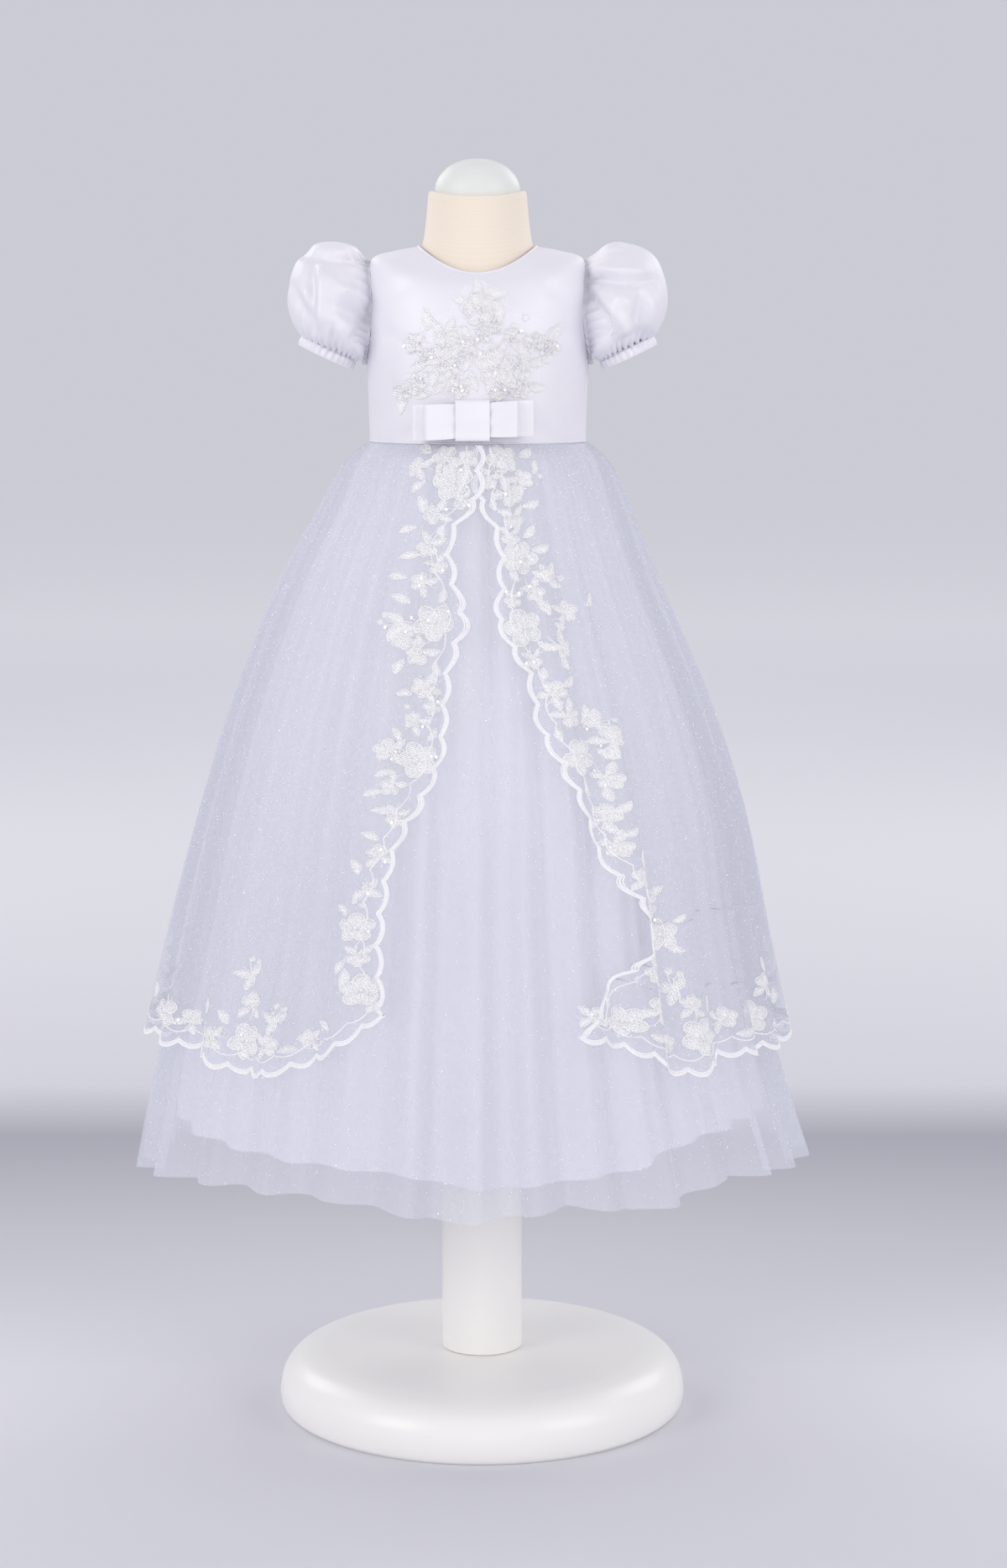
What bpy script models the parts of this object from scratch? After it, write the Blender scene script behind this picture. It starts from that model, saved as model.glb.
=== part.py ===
"""A baby's christening gown on a dress form that has a round stand.

Units are metres, +Z is up, the gown faces -Y, and the origin is the centre of the stand's underside.
Each piece of cloth is a thin wall: a surface worked out from a short table of sections, and the same
surface moved along its normals. Angles go round the body from 0 at the front to 90 at +X.
"""
import bpy
import numpy as np

# Driving sizes
CLOTH = 0.0010        # wall of satin, net and lace
SEAM = 0.0003         # between pieces that are sewn or stand on each other
BODY_X = -0.0027      # the form stands this far off the middle of its pole
POLE_RADIUS = 0.0315
FORM_BOTTOM = 0.600
FORM_INSET = 0.0042   # how far the form stays inside the bodice's outer face
FRONT_LACE = 0.038    # width of the lace border down the front edges
HEM_LACE = 0.036      # and along the hem
SCALLOP_DEPTH = 0.0035
LACE_RELIEF = 0.0006  # flowers stand this far above the net
LACE_GAP = 0.0005     # between the lace and the edge of its panel, which folds more sharply
OVER_ROWS = 8         # rows of the overskirt's panels
FRONT_STATIONS = 5    # points of the front lace between two of those rows

# Bodice sections: side half width and height, front depth and height, back depth and height
BODICE = (
    (0.0826, 0.7595, 0.0700, 0.7595, 0.0680, 0.7595),    # waist
    (0.0835, 0.7900, 0.0712, 0.7900, 0.0690, 0.7900),    # ribs
    (0.0845, 0.8170, 0.0708, 0.8150, 0.0692, 0.8170),    # underarm
    (0.0845, 0.8380, 0.0695, 0.8320, 0.0685, 0.8420),    # lower armhole
    (0.0845, 0.8580, 0.0670, 0.8480, 0.0665, 0.8620),    # middle of the armhole
    (0.0840, 0.8800, 0.0630, 0.8620, 0.0640, 0.8800),    # upper armhole
    (0.0800, 0.8975, 0.0575, 0.8750, 0.0590, 0.8930),    # shoulder point
    (0.0620, 0.9035, 0.0520, 0.8815, 0.0500, 0.9000),    # middle of the shoulder seam
    (0.0450, 0.9065, 0.0470, 0.8855, 0.0400, 0.9045),    # neckline
)
# Edge of the armhole: place among the rows above, angle from the middle of the front or back
ARMHOLE = ((2.0, 90.0), (2.35, 81.0), (3.0, 74.0), (4.0, 70.5), (5.0, 73.0), (5.6, 80.0), (6.0, 90.0))
ARMHOLE_ROWS = 2.0, 6.0

FORM_COLLAR = (0.0426, 0.9065, 0.0425, 0.8960, 0.0385, 0.9055)    # the form just over the neckline
# The form above that and below the waist: side half width, height, front depth, back depth
FORM_NECK = (
    (0.0408, 0.9130, 0.0400, 0.0385),
    (0.0392, 0.9250, 0.0380, 0.0370),
    (0.0380, 0.9380, 0.0365, 0.0360),
    (0.0374, 0.9450, 0.0358, 0.0355),
    (0.0360, 0.9480, 0.0344, 0.0342),
    (0.0342, 0.9472, 0.0328, 0.0326),
    (0.0334, 0.9440, 0.0320, 0.0318),
)
FORM_HIPS = (
    (0.0400, 0.6000, 0.0380, 0.0380),
    (0.0660, 0.6030, 0.0560, 0.0580),
    (0.0800, 0.6150, 0.0670, 0.0700),
    (0.0870, 0.6400, 0.0730, 0.0760),
    (0.0870, 0.6700, 0.0730, 0.0760),
    (0.0830, 0.7150, 0.0690, 0.0700),
)
# Turned profiles: radius, height
CAP = ((0.0310, 0.9443), (0.0322, 0.9455), (0.0324, 0.9520), (0.0308, 0.9590), (0.0270, 0.9650),
       (0.0205, 0.9695), (0.0110, 0.9718))
CAP_TOP = 0.9722
BASE = ((0.1560, 0.0000), (0.1588, 0.0030), (0.1600, 0.0095), (0.1594, 0.0180), (0.1568, 0.0270),
        (0.1515, 0.0345), (0.1430, 0.0400), (0.1320, 0.0430), (0.1180, 0.0443))
BASE_TOP = 0.0446

# Outer face of the skirts: height, half width to -X and to +X, front depth, back depth,
# how far the folds have grown, how far the net skirt and the lining lie inside
SKIRT = (
    (0.7592, 0.0870, 0.0810, 0.0725, 0.0705, 0.00, 0.0019, 0.0036),
    (0.7440, 0.1040, 0.0980, 0.0850, 0.0840, 0.12, 0.0045, 0.0100),
    (0.7120, 0.1220, 0.1130, 0.0970, 0.0980, 0.22, 0.0070, 0.0160),
    (0.6470, 0.1565, 0.1380, 0.1190, 0.1220, 0.36, 0.0090, 0.0200),
    (0.5630, 0.1890, 0.1730, 0.1450, 0.1490, 0.50, 0.0100, 0.0230),
    (0.4770, 0.2150, 0.2000, 0.1680, 0.1710, 0.65, 0.0110, 0.0260),
    (0.3840, 0.2390, 0.2180, 0.1870, 0.1890, 0.80, 0.0152, 0.0320),
    (0.2840, 0.2600, 0.2380, 0.2030, 0.2040, 0.92, 0.0130, 0.0310),
    (0.1850, 0.2680, 0.2580, 0.2120, 0.2130, 1.00, 0.0020, 0.0280),
)
# Folds: angle of the crest, depth at the hem
FOLDS = (
    (-84, 0.016), (-66, 0.020), (-51, 0.014), (-37, 0.020), (-24, 0.012), (-12, 0.018), (-1, 0.014),
    (10, 0.016), (21, 0.012), (33, 0.020), (45, 0.014), (58, 0.018), (71, 0.012), (84, 0.016),
    (96, 0.018), (111, 0.014), (127, 0.020), (144, 0.014), (162, 0.018), (180, 0.014), (198, 0.018),
    (216, 0.012), (233, 0.020), (249, 0.014), (264, 0.016),
)
LINING_FOLDS = 0.6    # share of those depths in the lining
# Hems: angle, height
NET_HEM = ((-180, 0.206), (-135, 0.204), (-90, 0.192), (-77, 0.200), (-52, 0.210), (-38, 0.213),
           (-24, 0.212), (-11, 0.205), (-5, 0.200), (4, 0.203), (15, 0.210), (28, 0.203),
           (38, 0.207), (46, 0.216), (66, 0.208), (90, 0.203), (135, 0.205), (180, 0.206))
LINING_HEM = ((-180, 0.230), (-90, 0.236), (-45, 0.232), (-14, 0.228), (0, 0.218), (18, 0.223),
              (30, 0.226), (44, 0.240), (66, 0.245), (90, 0.240), (135, 0.233), (180, 0.230))
# Tips of the overskirt's scalloped hem
OVER_HEM = ((-180, 0.300), (-120, 0.298), (-82, 0.302), (-58, 0.305), (-43, 0.295), (-31, 0.306),
            (-25, 0.320), (-16, 0.346), (18, 0.331), (28, 0.320), (40, 0.296), (53, 0.303),
            (79, 0.297), (120, 0.298), (180, 0.300))
# Tips of the scalloped front edges: height, angle on the -X panel, angle on the +X panel
FRONT_EDGE = (
    (0.7592, 2.5, -4.0),
    (0.7230, 1.0, -3.0),
    (0.6920, -7.5, 4.5),
    (0.6560, -5.0, 5.0),
    (0.6320, -2.5, 4.0),
    (0.5960, -5.8, 11.0),
    (0.5600, -6.5, 13.0),
    (0.5360, -7.0, 16.5),
    (0.5000, -11.7, 21.0),
    (0.4700, -15.4, 24.5),
    (0.4440, -17.0, 28.7),
    (0.4000, -17.6, 33.8),
    (0.3600, -16.5, 23.0),
    (0.3310, -16.0, 18.0),
)
OVERLAP_LIFT = 0.0029     # the -X panel lies over the +X one at the top of the front
OVERLAP_ANGLE = 30.0
OVERLAP_FOOT = 0.640

# Puff sleeve: rings fan out round a line at the underarm. Turn of the ring, its near and far reach
# from that line, depth to the front and to the back, lean of the front towards the bodice, and how
# much of the gathers shows
SLEEVE_LINE = 0.0860, 0.8172
SLEEVE_BACK = 0.0020      # the rings' middle lies this far in front of the form's
SLEEVE = (
    (9, 0.0030, 0.0920, 0.0330, 0.0320, 0.0010, 1.00),
    (20, 0.0040, 0.0965, 0.0430, 0.0390, 0.0040, 0.45),
    (31, 0.0050, 0.0950, 0.0480, 0.0430, 0.0070, 0.15),
    (42, 0.0060, 0.0850, 0.0480, 0.0430, 0.0070, 0.10),
    (52, 0.0065, 0.0740, 0.0440, 0.0400, 0.0050, 0.30),
    (60, 0.0070, 0.0620, 0.0370, 0.0340, 0.0020, 0.70),
    (65, 0.0080, 0.0520, 0.0280, 0.0270, 0.0000, 1.00),
)
# Its first two rings stand just inside the armhole: distance from the edge, then outwards
SLEEVE_START = ((0.0014, 0.0000), (0.0008, 0.0030))
SLEEVE_COLUMNS = 36
SLEEVE_GATHERS = 9
SLEEVE_GATHER_DEPTH = 0.0016
CUFF_HEIGHT = 0.0070
CUFF_WALL = 0.0016

# Bow: left end, right end, how far its middle stands off the bodice, how far at its ends, open gap
BOW_TIERS = {
    "bow_back": (-0.0512, 0.0399, 0.0030, 0.0066, 0.0020),
    "bow_front": (-0.0417, 0.0280, 0.0060, 0.0122, 0.0026),
}
BOW_MIDDLE = 0.7771
BOW_TILT = 0.04           # rise of the loops across the front
BOW_CREASE = 0.0006       # half gap of a loop where the band binds it
RIBBON_HALF = 0.0132
RIBBON = 0.0008
BOW_FLATNESS = 0.45       # share of the bodice's roundness that the bow doesn't follow
# Its band: ends across the front, nearest and farthest off the bodice, room above the loops, and
# how square its section is
BOW_BAND = (-0.0187, 0.0068)
BAND_OFF = (0.0013, 0.0101)
BAND_ROOM = 0.0012
BAND_SQUARE = 0.2

# Bodice lace: its middle across and up, then its reach at every 15 degrees from +X, going up
LACE_MIDDLE = (-0.0050, 0.8180)
LACE_REACH = (0.050, 0.066, 0.062, 0.050, 0.050, 0.058, 0.062, 0.050, 0.044, 0.052, 0.046, 0.044,
              0.046, 0.054, 0.050, 0.035, 0.029, 0.026, 0.025, 0.026, 0.029, 0.035, 0.044, 0.050)
LACE_RINGS = (0.05, 0.28, 0.52, 0.76, 1.0)
LACE_OFF = 0.0015         # between the bodice's face and the lace's back
MOTIF_RELIEF = 0.0008

SATIN = "#F4F3F8", 0.35
NET = "#DDDFEE", 0.60
LACE = "#F7F7FA", 0.55
JERSEY = "#F0E4D4", 0.85
PLASTIC = "#EEEEEB", 0.35
CAP_PLASTIC = "#E9EEE8", 0.20


def clear_scene():
    """Removes whatever the file holds."""
    for item in list(bpy.data.objects):
        bpy.data.objects.remove(item, do_unlink=True)


def linear(code):
    """An sRGB hex colour as linear red, green and blue."""
    parts = np.array([int(code[i:i + 2], 16) for i in (1, 3, 5)]) / 255
    return np.where(parts <= 0.04045, parts / 12.92, ((parts + 0.055) / 1.055) ** 2.4)


def add_object(name, points, faces, finish):
    """A mesh object with outward faces and a material of its own."""
    points = np.asarray(points, float)
    faces = np.asarray(faces)
    a, b, c = (points[faces[:, i]] for i in range(3))
    if np.einsum("ij,ij->i", a, np.cross(b, c)).sum() < 0:
        faces = faces[:, ::-1]
    mesh = bpy.data.meshes.new(name)
    mesh.from_pydata(points.tolist(), [], faces.tolist())
    mesh.shade_smooth()
    mesh.set_sharp_from_angle(angle=np.radians(50))
    colour, roughness = finish
    material = bpy.data.materials.new(name)
    material.use_nodes = True
    shader = material.node_tree.nodes["Principled BSDF"]
    shader.inputs["Base Color"].default_value = (*linear(colour), 1)
    shader.inputs["Roughness"].default_value = roughness
    shader.inputs["Metallic"].default_value = 0.0
    mesh.materials.append(material)
    item = bpy.data.objects.new(name, mesh)
    bpy.context.scene.collection.objects.link(item)
    return item


def cells(number):
    """Two triangles for each cell of a grid of point numbers."""
    a, b, c, d = number[:-1, :-1], number[:-1, 1:], number[1:, 1:], number[1:, :-1]
    return np.concatenate([np.stack([a, b, c], -1).reshape(-1, 3), np.stack([a, c, d], -1).reshape(-1, 3)])


def wall(name, inside, outside, finish, wrap=False):
    """A closed thin body between two grids of points; wrap joins the last column to the first."""
    rows, columns = inside.shape[:2]
    number = np.arange(rows * columns).reshape(rows, columns)
    if wrap:
        number = np.column_stack([number, number[:, :1]])
    return sheet_wall(name, inside.reshape(-1, 3), outside.reshape(-1, 3), cells(number), finish)


def sheet_wall(name, inside, outside, skin, finish):
    """A closed thin body between two faces of the same triangles, with a rim along every free edge."""
    count = len(inside)
    ends = np.concatenate([skin[:, [0, 1]], skin[:, [1, 2]], skin[:, [2, 0]]])
    _, index, uses = np.unique(np.sort(ends, axis=1), axis=0, return_inverse=True, return_counts=True)
    start, end = ends[uses[index.ravel()] == 1].T
    rim = [np.stack([start, end, end + count], 1), np.stack([start, end + count, start + count], 1)]
    faces = np.concatenate([skin + count, skin[:, ::-1], *rim])
    return add_object(name, np.concatenate([inside, outside]), faces, finish)


def solid(name, rings, finish):
    """A closed body through rings of points, with a flat or domed fan at each end."""
    rows, columns = rings.shape[:2]
    number = np.arange(rows * columns).reshape(rows, columns)
    number = np.column_stack([number, number[:, :1]])
    first, last = rows * columns, rows * columns + 1
    low, high = number[0], number[-1]
    fans = [np.stack([low[1:], low[:-1], np.full(columns, first)], 1),
            np.stack([high[:-1], high[1:], np.full(columns, last)], 1)]
    points = np.concatenate([rings.reshape(-1, 3), rings[0].mean(0)[None], rings[-1].mean(0)[None]])
    return add_object(name, points, np.concatenate([cells(number), *fans]), finish)


def smooth(table, place):
    """All columns of a table read between its rows on a Catmull-Rom curve; place counts rows."""
    table = np.asarray(table, float)
    place = np.clip(np.asarray(place, float), 0, len(table) - 1)
    row = np.minimum(place.astype(int), len(table) - 2)
    part = (place - row)[..., None]
    p0, p1, p2 = table[np.maximum(row - 1, 0)], table[row], table[row + 1]
    p3 = table[np.minimum(row + 2, len(table) - 1)]
    bend = 2 * p0 - 5 * p1 + 4 * p2 - p3 + part * (3 * (p1 - p2) + p3 - p0)
    return np.moveaxis(p1 + 0.5 * part * (p2 - p0 + part * bend), -1, 0)


def body_ring(angle, side, side_height, front, front_height, back, back_height):
    """Points of a ring round the body: two half ellipses whose height eases from front to side."""
    sine, cosine = np.sin(angle), np.cos(angle)
    depth = np.where(cosine > 0, front, back)
    height = np.where(cosine > 0, front_height, back_height)
    return np.stack([BODY_X + side * sine, -depth * cosine,
                     height * cosine ** 2 + side_height * sine ** 2], -1)


def bodice(place, angle):
    """Outer face of the bodice."""
    return body_ring(angle, *smooth(BODICE, place))


def bodice_normals(place, angle):
    """Normals of that face, away from the middle of the chest."""
    normal = normals(bodice, place, angle, 0.02, 0.01)
    away = bodice(place, angle) - (BODY_X, 0, 0.80)
    return normal * np.sign(np.sum(normal * away, -1, keepdims=True))


def folds(angle):
    """Height of the folds, crest to valley, as a share of their full growth."""
    crests, depths = np.array(FOLDS, float).T
    crests = np.concatenate([[crests[-1] - 360], crests, [crests[0] + 360]])
    depths = np.concatenate([depths[-1:], depths, depths[:1]])
    degrees = (np.degrees(angle) + 90) % 360 - 90
    place = np.interp(degrees, crests, np.arange(len(crests)))
    return np.interp(place, np.arange(len(crests)), depths) * (np.cos(np.pi * place) ** 2 - 0.5)


ROWS = np.linspace(0, len(SKIRT) - 1, 400)
ROW_HEIGHTS = smooth(SKIRT, ROWS)[0]


def skirt(height, angle, layer="over", lift=0.0):
    """Outer face of one of the nested skirts: half ellipses, pushed in and out by the folds."""
    place = np.interp(-height, -ROW_HEIGHTS, ROWS)
    level, left, right, front, back, growth, net_in, lining_in = smooth(SKIRT, place)
    inset = {"over": 0, "net": net_in, "lining": lining_in}[layer]
    share = LINING_FOLDS if layer == "lining" else 1.0
    reach = folds(angle) * growth * share - inset + lift
    sine, cosine = np.sin(angle), np.cos(angle)
    side = np.where(sine < 0, left, right) + reach
    depth = np.where(cosine > 0, front, back) + reach
    return np.stack([side * sine, -depth * cosine, level + 0 * reach], -1)


def normals(surface, first, second, step_first, step_second):
    """Unit normals of a surface of two parameters, from small steps to both sides of each point."""
    along = surface(first + step_first, second) - surface(first - step_first, second)
    across = surface(first, second + step_second) - surface(first, second - step_second)
    normal = np.cross(across, along)
    return normal / np.linalg.norm(normal, axis=-1, keepdims=True)


def grid_normals(points):
    """Unit normals of a grid whose columns wrap round."""
    along = np.gradient(points, axis=0)
    across = np.roll(points, -1, axis=1) - np.roll(points, 1, axis=1)
    normal = np.cross(across, along)
    return normal / np.linalg.norm(normal, axis=-1, keepdims=True)


def part_seams(points):
    """Pulls the first and last columns of a panel in by half a seam."""
    points = points.copy()
    for edge, inner in ((0, 1), (-1, -2)):
        step = points[:, inner] - points[:, edge]
        points[:, edge] += 0.5 * SEAM * step / np.linalg.norm(step, axis=-1, keepdims=True)
    return points


def make_form():
    """Torso with its neck in one jersey cover, and the plastic cap, pole and base."""
    angle = np.linspace(0, 2 * np.pi, 26, endpoint=False)
    rings = [body_ring(angle, side, z, front, z, back, z) for side, z, front, back in FORM_HIPS]
    place = np.arange(len(BODICE))[:, None] + 0 * angle
    rings += list(bodice(place, angle + 0 * place) - FORM_INSET * bodice_normals(place, angle + 0 * place))
    rings.append(body_ring(angle, *FORM_COLLAR))
    rings += [body_ring(angle, side, z, front, z - 0.004, back, z) for side, z, front, back in FORM_NECK]
    solid("form_torso", np.array(rings), JERSEY)
    turned("form_cap", CAP, CAP_TOP, 20, BODY_X, CAP_PLASTIC)
    pole = ((POLE_RADIUS, BASE_TOP + SEAM), (POLE_RADIUS, FORM_BOTTOM - SEAM))
    turned("form_pole", pole, FORM_BOTTOM - SEAM, 28, 0.0, PLASTIC)
    turned("form_base", BASE, BASE_TOP, 36, 0.0, PLASTIC)


def turned(name, profile, top, segments, middle, finish):
    """A turned body from a profile of radii and heights, closed at its top height."""
    angle = np.linspace(0, 2 * np.pi, segments, endpoint=False)
    rings = [np.stack([middle + radius * np.cos(angle), radius * np.sin(angle), 0 * angle + height], -1)
             for radius, height in profile]
    item = solid(name, np.array(rings), finish)
    item.data.vertices[-1].co.z = top
    return item


def make_bodice():
    """Front between the side seams, and two back halves that meet in the middle."""
    places = np.array([0, 1, 2, 2.35, 3, 4, 5, 5.6, 6, 7, 8.0])
    edges = np.interp(places, *np.array(ARMHOLE).T)
    spans = {"bodice_front": (-edges, edges, 15), "bodice_back_left": (180 - edges, 180 + 0 * edges, 8),
             "bodice_back_right": (180 + 0 * edges, 180 + edges, 8)}
    for name, (start, end, columns) in spans.items():
        share = np.linspace(0, 1, columns)
        angle = np.radians(start[:, None] * (1 - share) + end[:, None] * share)
        place = np.repeat(places[:, None], columns, axis=1)
        outside = bodice(place, angle)
        offset = bodice_normals(place, angle)
        outside = part_seams(outside)
        wall(name, outside - CLOTH * offset, outside, SATIN)


def sleeve_rings(side):
    """Outer rings of a puff sleeve from the armhole to the cuff, and the way the cuff goes on."""
    turn = np.linspace(0, 2 * np.pi, SLEEVE_COLUMNS, endpoint=False)
    up, forward = np.cos(turn), np.sin(turn)
    low, high = ARMHOLE_ROWS
    place = (low + high) / 2 + (high - low) / 2 * up
    edge = np.interp(place, *np.array(ARMHOLE).T)
    hole = bodice(place, np.radians(np.where(forward > 0, edge, 180 - edge)))
    middle = hole.mean(0) * (0, 1, 1) + hole * (1, 0, 0)
    inwards = (middle - hole) / np.linalg.norm(middle - hole, axis=-1, keepdims=True)
    rings = [hole + inside * inwards + (outwards, 0, 0) for inside, outwards in SLEEVE_START]
    for degrees, near, far, front, back, lean, share in SLEEVE:
        gather = SLEEVE_GATHER_DEPTH * share * np.cos(SLEEVE_GATHERS * turn)
        reach = (near + far) / 2 + (far - near) / 2 * up + gather * (0.55 + 0.45 * up)
        out = SLEEVE_LINE[0] + BODY_X + reach * np.sin(np.radians(degrees))
        depth = np.where(forward > 0, front, back) + gather
        rings.append(np.stack([out - lean * np.clip(forward, 0, 1) ** 2, -SLEEVE_BACK - depth * forward,
                               SLEEVE_LINE[1] + reach * np.cos(np.radians(degrees))], -1))
    rings = np.array(rings)
    last = np.radians(SLEEVE[-1][0])
    down = np.array([np.cos(last), 0, -np.sin(last)])
    if side < 0:
        rings = (rings - (BODY_X, 0, 0)) * (-1, 1, 1) + (BODY_X, 0, 0)
        down = down * (-1, 1, 1)
    return rings, down


def make_sleeve(side, word):
    """A gathered puff and the narrow casing that holds it round the arm."""
    rings, down = sleeve_rings(side)
    offset = grid_normals(rings)
    centre = rings.mean(axis=1, keepdims=True)
    offset = offset * np.sign(np.sum(offset * (rings - centre), -1).mean())
    wall("sleeve_" + word, rings - CLOTH * offset, rings, SATIN, wrap=True)
    edge = rings[-1]
    middle = edge.mean(0)
    outwards = (edge - middle) / np.linalg.norm(edge - middle, axis=-1, keepdims=True)
    outer = edge + np.array([SEAM, SEAM + CUFF_HEIGHT])[:, None, None] * down
    wall("cuff_" + word, outer - CUFF_WALL * outwards, outer, SATIN, wrap=True)


def fold_columns(start, end, per_fold):
    """Angles in degrees from start to end that fall on the crests, valleys and between them."""
    crests = np.array([fold[0] for fold in FOLDS] + [FOLDS[0][0] + 360], float)
    steps = np.arange(per_fold) / per_fold
    angles = (crests[:-1, None] + np.diff(crests)[:, None] * steps).ravel()
    angles = np.concatenate([angles - 360, angles, angles + 360])
    inner = angles[(angles > start + 1.0) & (angles < end - 1.0)]
    return np.concatenate([[start], inner, [end]])


def skirt_panel(name, layer, start, end, hem, rows, per_fold, finish):
    """One panel of a gathered skirt, from the waist to its hem."""
    columns = fold_columns(start, end, per_fold)
    bottom = np.interp((columns + 180) % 360 - 180, *np.array(hem, float).T)
    share = np.linspace(0, 1, rows)[:, None] ** 1.25
    height = SKIRT[0][0] + (bottom - SKIRT[0][0]) * share
    angle = np.radians(np.repeat(columns[None], rows, axis=0))

    def surface(z, turn):
        return skirt(z, turn, layer)

    outside = surface(height, angle)
    offset = normals(surface, height, angle, 0.001, 0.01)
    offset = offset * np.sign(np.sum(offset[..., :2] * outside[..., :2], -1, keepdims=True))
    outside = part_seams(outside)
    wall(name, outside - CLOTH * offset, outside, finish)


def over_skirt(height, angle, side):
    """Outer face of the overskirt; the -X panel is lifted over the other one at the top."""
    if side > 0:
        return skirt(height, angle)
    near = np.clip(1 - np.abs(np.degrees(angle)) / OVERLAP_ANGLE, 0, 1)
    high = np.clip((height - OVERLAP_FOOT) / (SKIRT[0][0] - OVERLAP_FOOT), 0, 1)
    return skirt(height, angle, lift=OVERLAP_LIFT * np.sqrt(near) * np.sqrt(high))


def over_offsets(height, angle, side):
    """Normals of that face, for the wall's thickness."""
    def surface(z, turn):
        return over_skirt(z, turn, side)

    offset = normals(surface, height, angle, 0.001, 0.01)
    point = surface(height, angle)
    return offset * np.sign(np.sum(offset[..., :2] * point[..., :2], -1, keepdims=True))


def front_edge(height, side):
    """Angle in degrees of the scalloped front edge at a height."""
    heights, minus, plus = np.array(FRONT_EDGE).T
    return np.interp(-height, -heights, plus if side > 0 else minus)


def hem_tip(degrees):
    """Height of the overskirt's scalloped hem at an angle."""
    return np.interp((degrees + 180) % 360 - 180, *np.array(OVER_HEM, float).T)


def lace_turn(height, width):
    """Angle in degrees that a width of lace takes up at a height."""
    place = np.interp(-height, -ROW_HEIGHTS, ROWS)
    table = smooth(SKIRT, place)
    return np.degrees(width / ((table[3] + table[2] + table[1]) / 3))


def inner_front(height, side):
    """Angle in degrees where a panel's net ends and its front lace begins."""
    return front_edge(height, side) + side * lace_turn(height, FRONT_LACE)


def make_overskirt(side, word):
    """A net panel from the front edge to the middle of the back, and the lace sewn along its edge.

    The panel's columns stay on the folds, so rows further down, where the front opens, hold fewer."""
    columns = side * fold_columns(*((-5.0, 180.0) if side > 0 else (-180.0, 5.0)), 4)
    columns = np.sort(columns)
    degrees, levels = [], []
    for share in np.linspace(0, 1, OVER_ROWS):
        level = SKIRT[0][0]
        for _ in range(30):
            front = inner_front(level, side)
            level += 0.5 * (over_row(front, share) - level)
        turns = side * np.concatenate([[side * front], columns[columns > side * front + 1.8]])
        degrees.append(turns)
        levels.append(over_row(turns, share))
    height, angle = np.concatenate(levels), np.radians(np.concatenate(degrees))
    point, offset = over_skirt(height, angle, side), over_offsets(height, angle, side)
    first = np.cumsum([0] + [len(row) for row in degrees])
    skin = []
    for row in range(OVER_ROWS - 1):
        upper, lower = side * degrees[row], side * degrees[row + 1]
        skin += zip_rows(upper, lower, *first[row:row + 2])
    skin = np.array(skin)
    net = point.copy()
    for last in first[1:] - 1:
        net[last, 0] += side * 0.5 * SEAM
    sheet_wall("overskirt_" + word, net - CLOTH * offset, net, skin[:, ::-1], NET)
    bottom = slice(first[-2], first[-1])
    lines = {"point": point, "offset": offset, "height": height, "degrees": np.degrees(angle)}
    border = {key: (values[first[:-1]], values[bottom]) for key, values in lines.items()}
    make_lace_edge(side, word, border)


def over_row(degrees, share):
    """Height of the overskirt at an angle, this share of the way down to the hem lace."""
    return SKIRT[0][0] + (hem_tip(degrees) + HEM_LACE - SKIRT[0][0]) * share


def zip_rows(upper, lower, upper_first, lower_first):
    """Triangles between two rows of growing angles that may hold different numbers of points."""
    i = j = 0
    while i < len(upper) - 1 or j < len(lower) - 1:
        step = j == len(lower) - 1 or (i < len(upper) - 1 and upper[i + 1] <= lower[j + 1] + 1e-6)
        if step:
            yield upper_first + i, upper_first + i + 1, lower_first + j
            i += 1
        else:
            yield upper_first + i, lower_first + j + 1, lower_first + j
            j += 1


def make_lace_edge(side, word, border):
    """The scalloped border: down the panel's front edge, round the corner and along its hem."""
    front = np.arange(0, OVER_ROWS - 1, 1.0 / FRONT_STATIONS)[:-1]
    hem = np.arange(1.0, len(border["point"][1]))

    def follow(key):
        down, along = border[key]
        return np.concatenate([read_line(down, front), along[:1], read_line(along, hem)])

    inner, inner_offset = follow("point"), follow("offset")
    inner_height, inner_degrees = follow("height"), follow("degrees")
    z_front, a_hem = inner_height[:len(front)], inner_degrees[-len(hem):]
    tip = SCALLOP_DEPTH * (1 - 2 * (np.arange(len(front)) % 2))
    tip_hem = SCALLOP_DEPTH * (1 - 2 * (np.arange(len(hem)) % 2))
    tip_hem[-1] = 0
    edge = front_edge(z_front, side) + side * lace_turn(z_front, tip)
    outer_degrees = np.concatenate([edge, [front_edge(FRONT_EDGE[-1][0], side)], a_hem])
    outer_height = np.concatenate([z_front, [FRONT_EDGE[-1][0]], hem_tip(a_hem) + tip_hem])
    shares = np.array([0.0, 0.5, 1.0])
    turn = np.radians(inner_degrees[:, None] * (1 - shares) + outer_degrees[:, None] * shares)
    level = inner_height[:, None] * (1 - shares) + outer_height[:, None] * shares
    grid, offsets = over_skirt(level, turn, side), over_offsets(level, turn, side)
    lean = grid[:, 1] - inner
    grid[:, 0] = inner + LACE_GAP * lean / np.linalg.norm(lean, axis=-1, keepdims=True)
    offsets[:, 0] = inner_offset
    grid[-1, :, 0] += side * 0.5 * SEAM
    relief = np.array([0.0, LACE_RELIEF, 0.0])[None, :, None]
    wall("lace_edge_" + word, grid - CLOTH * offsets, grid + relief * offsets, LACE)


def read_line(values, place):
    """Values read by straight steps between the entries of a list; place counts entries."""
    low = np.minimum(place.astype(int), len(values) - 2)
    part = (place - low).reshape(-1, *([1] * (values.ndim - 1)))
    return values[low] * (1 - part) + values[low + 1] * part


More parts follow.
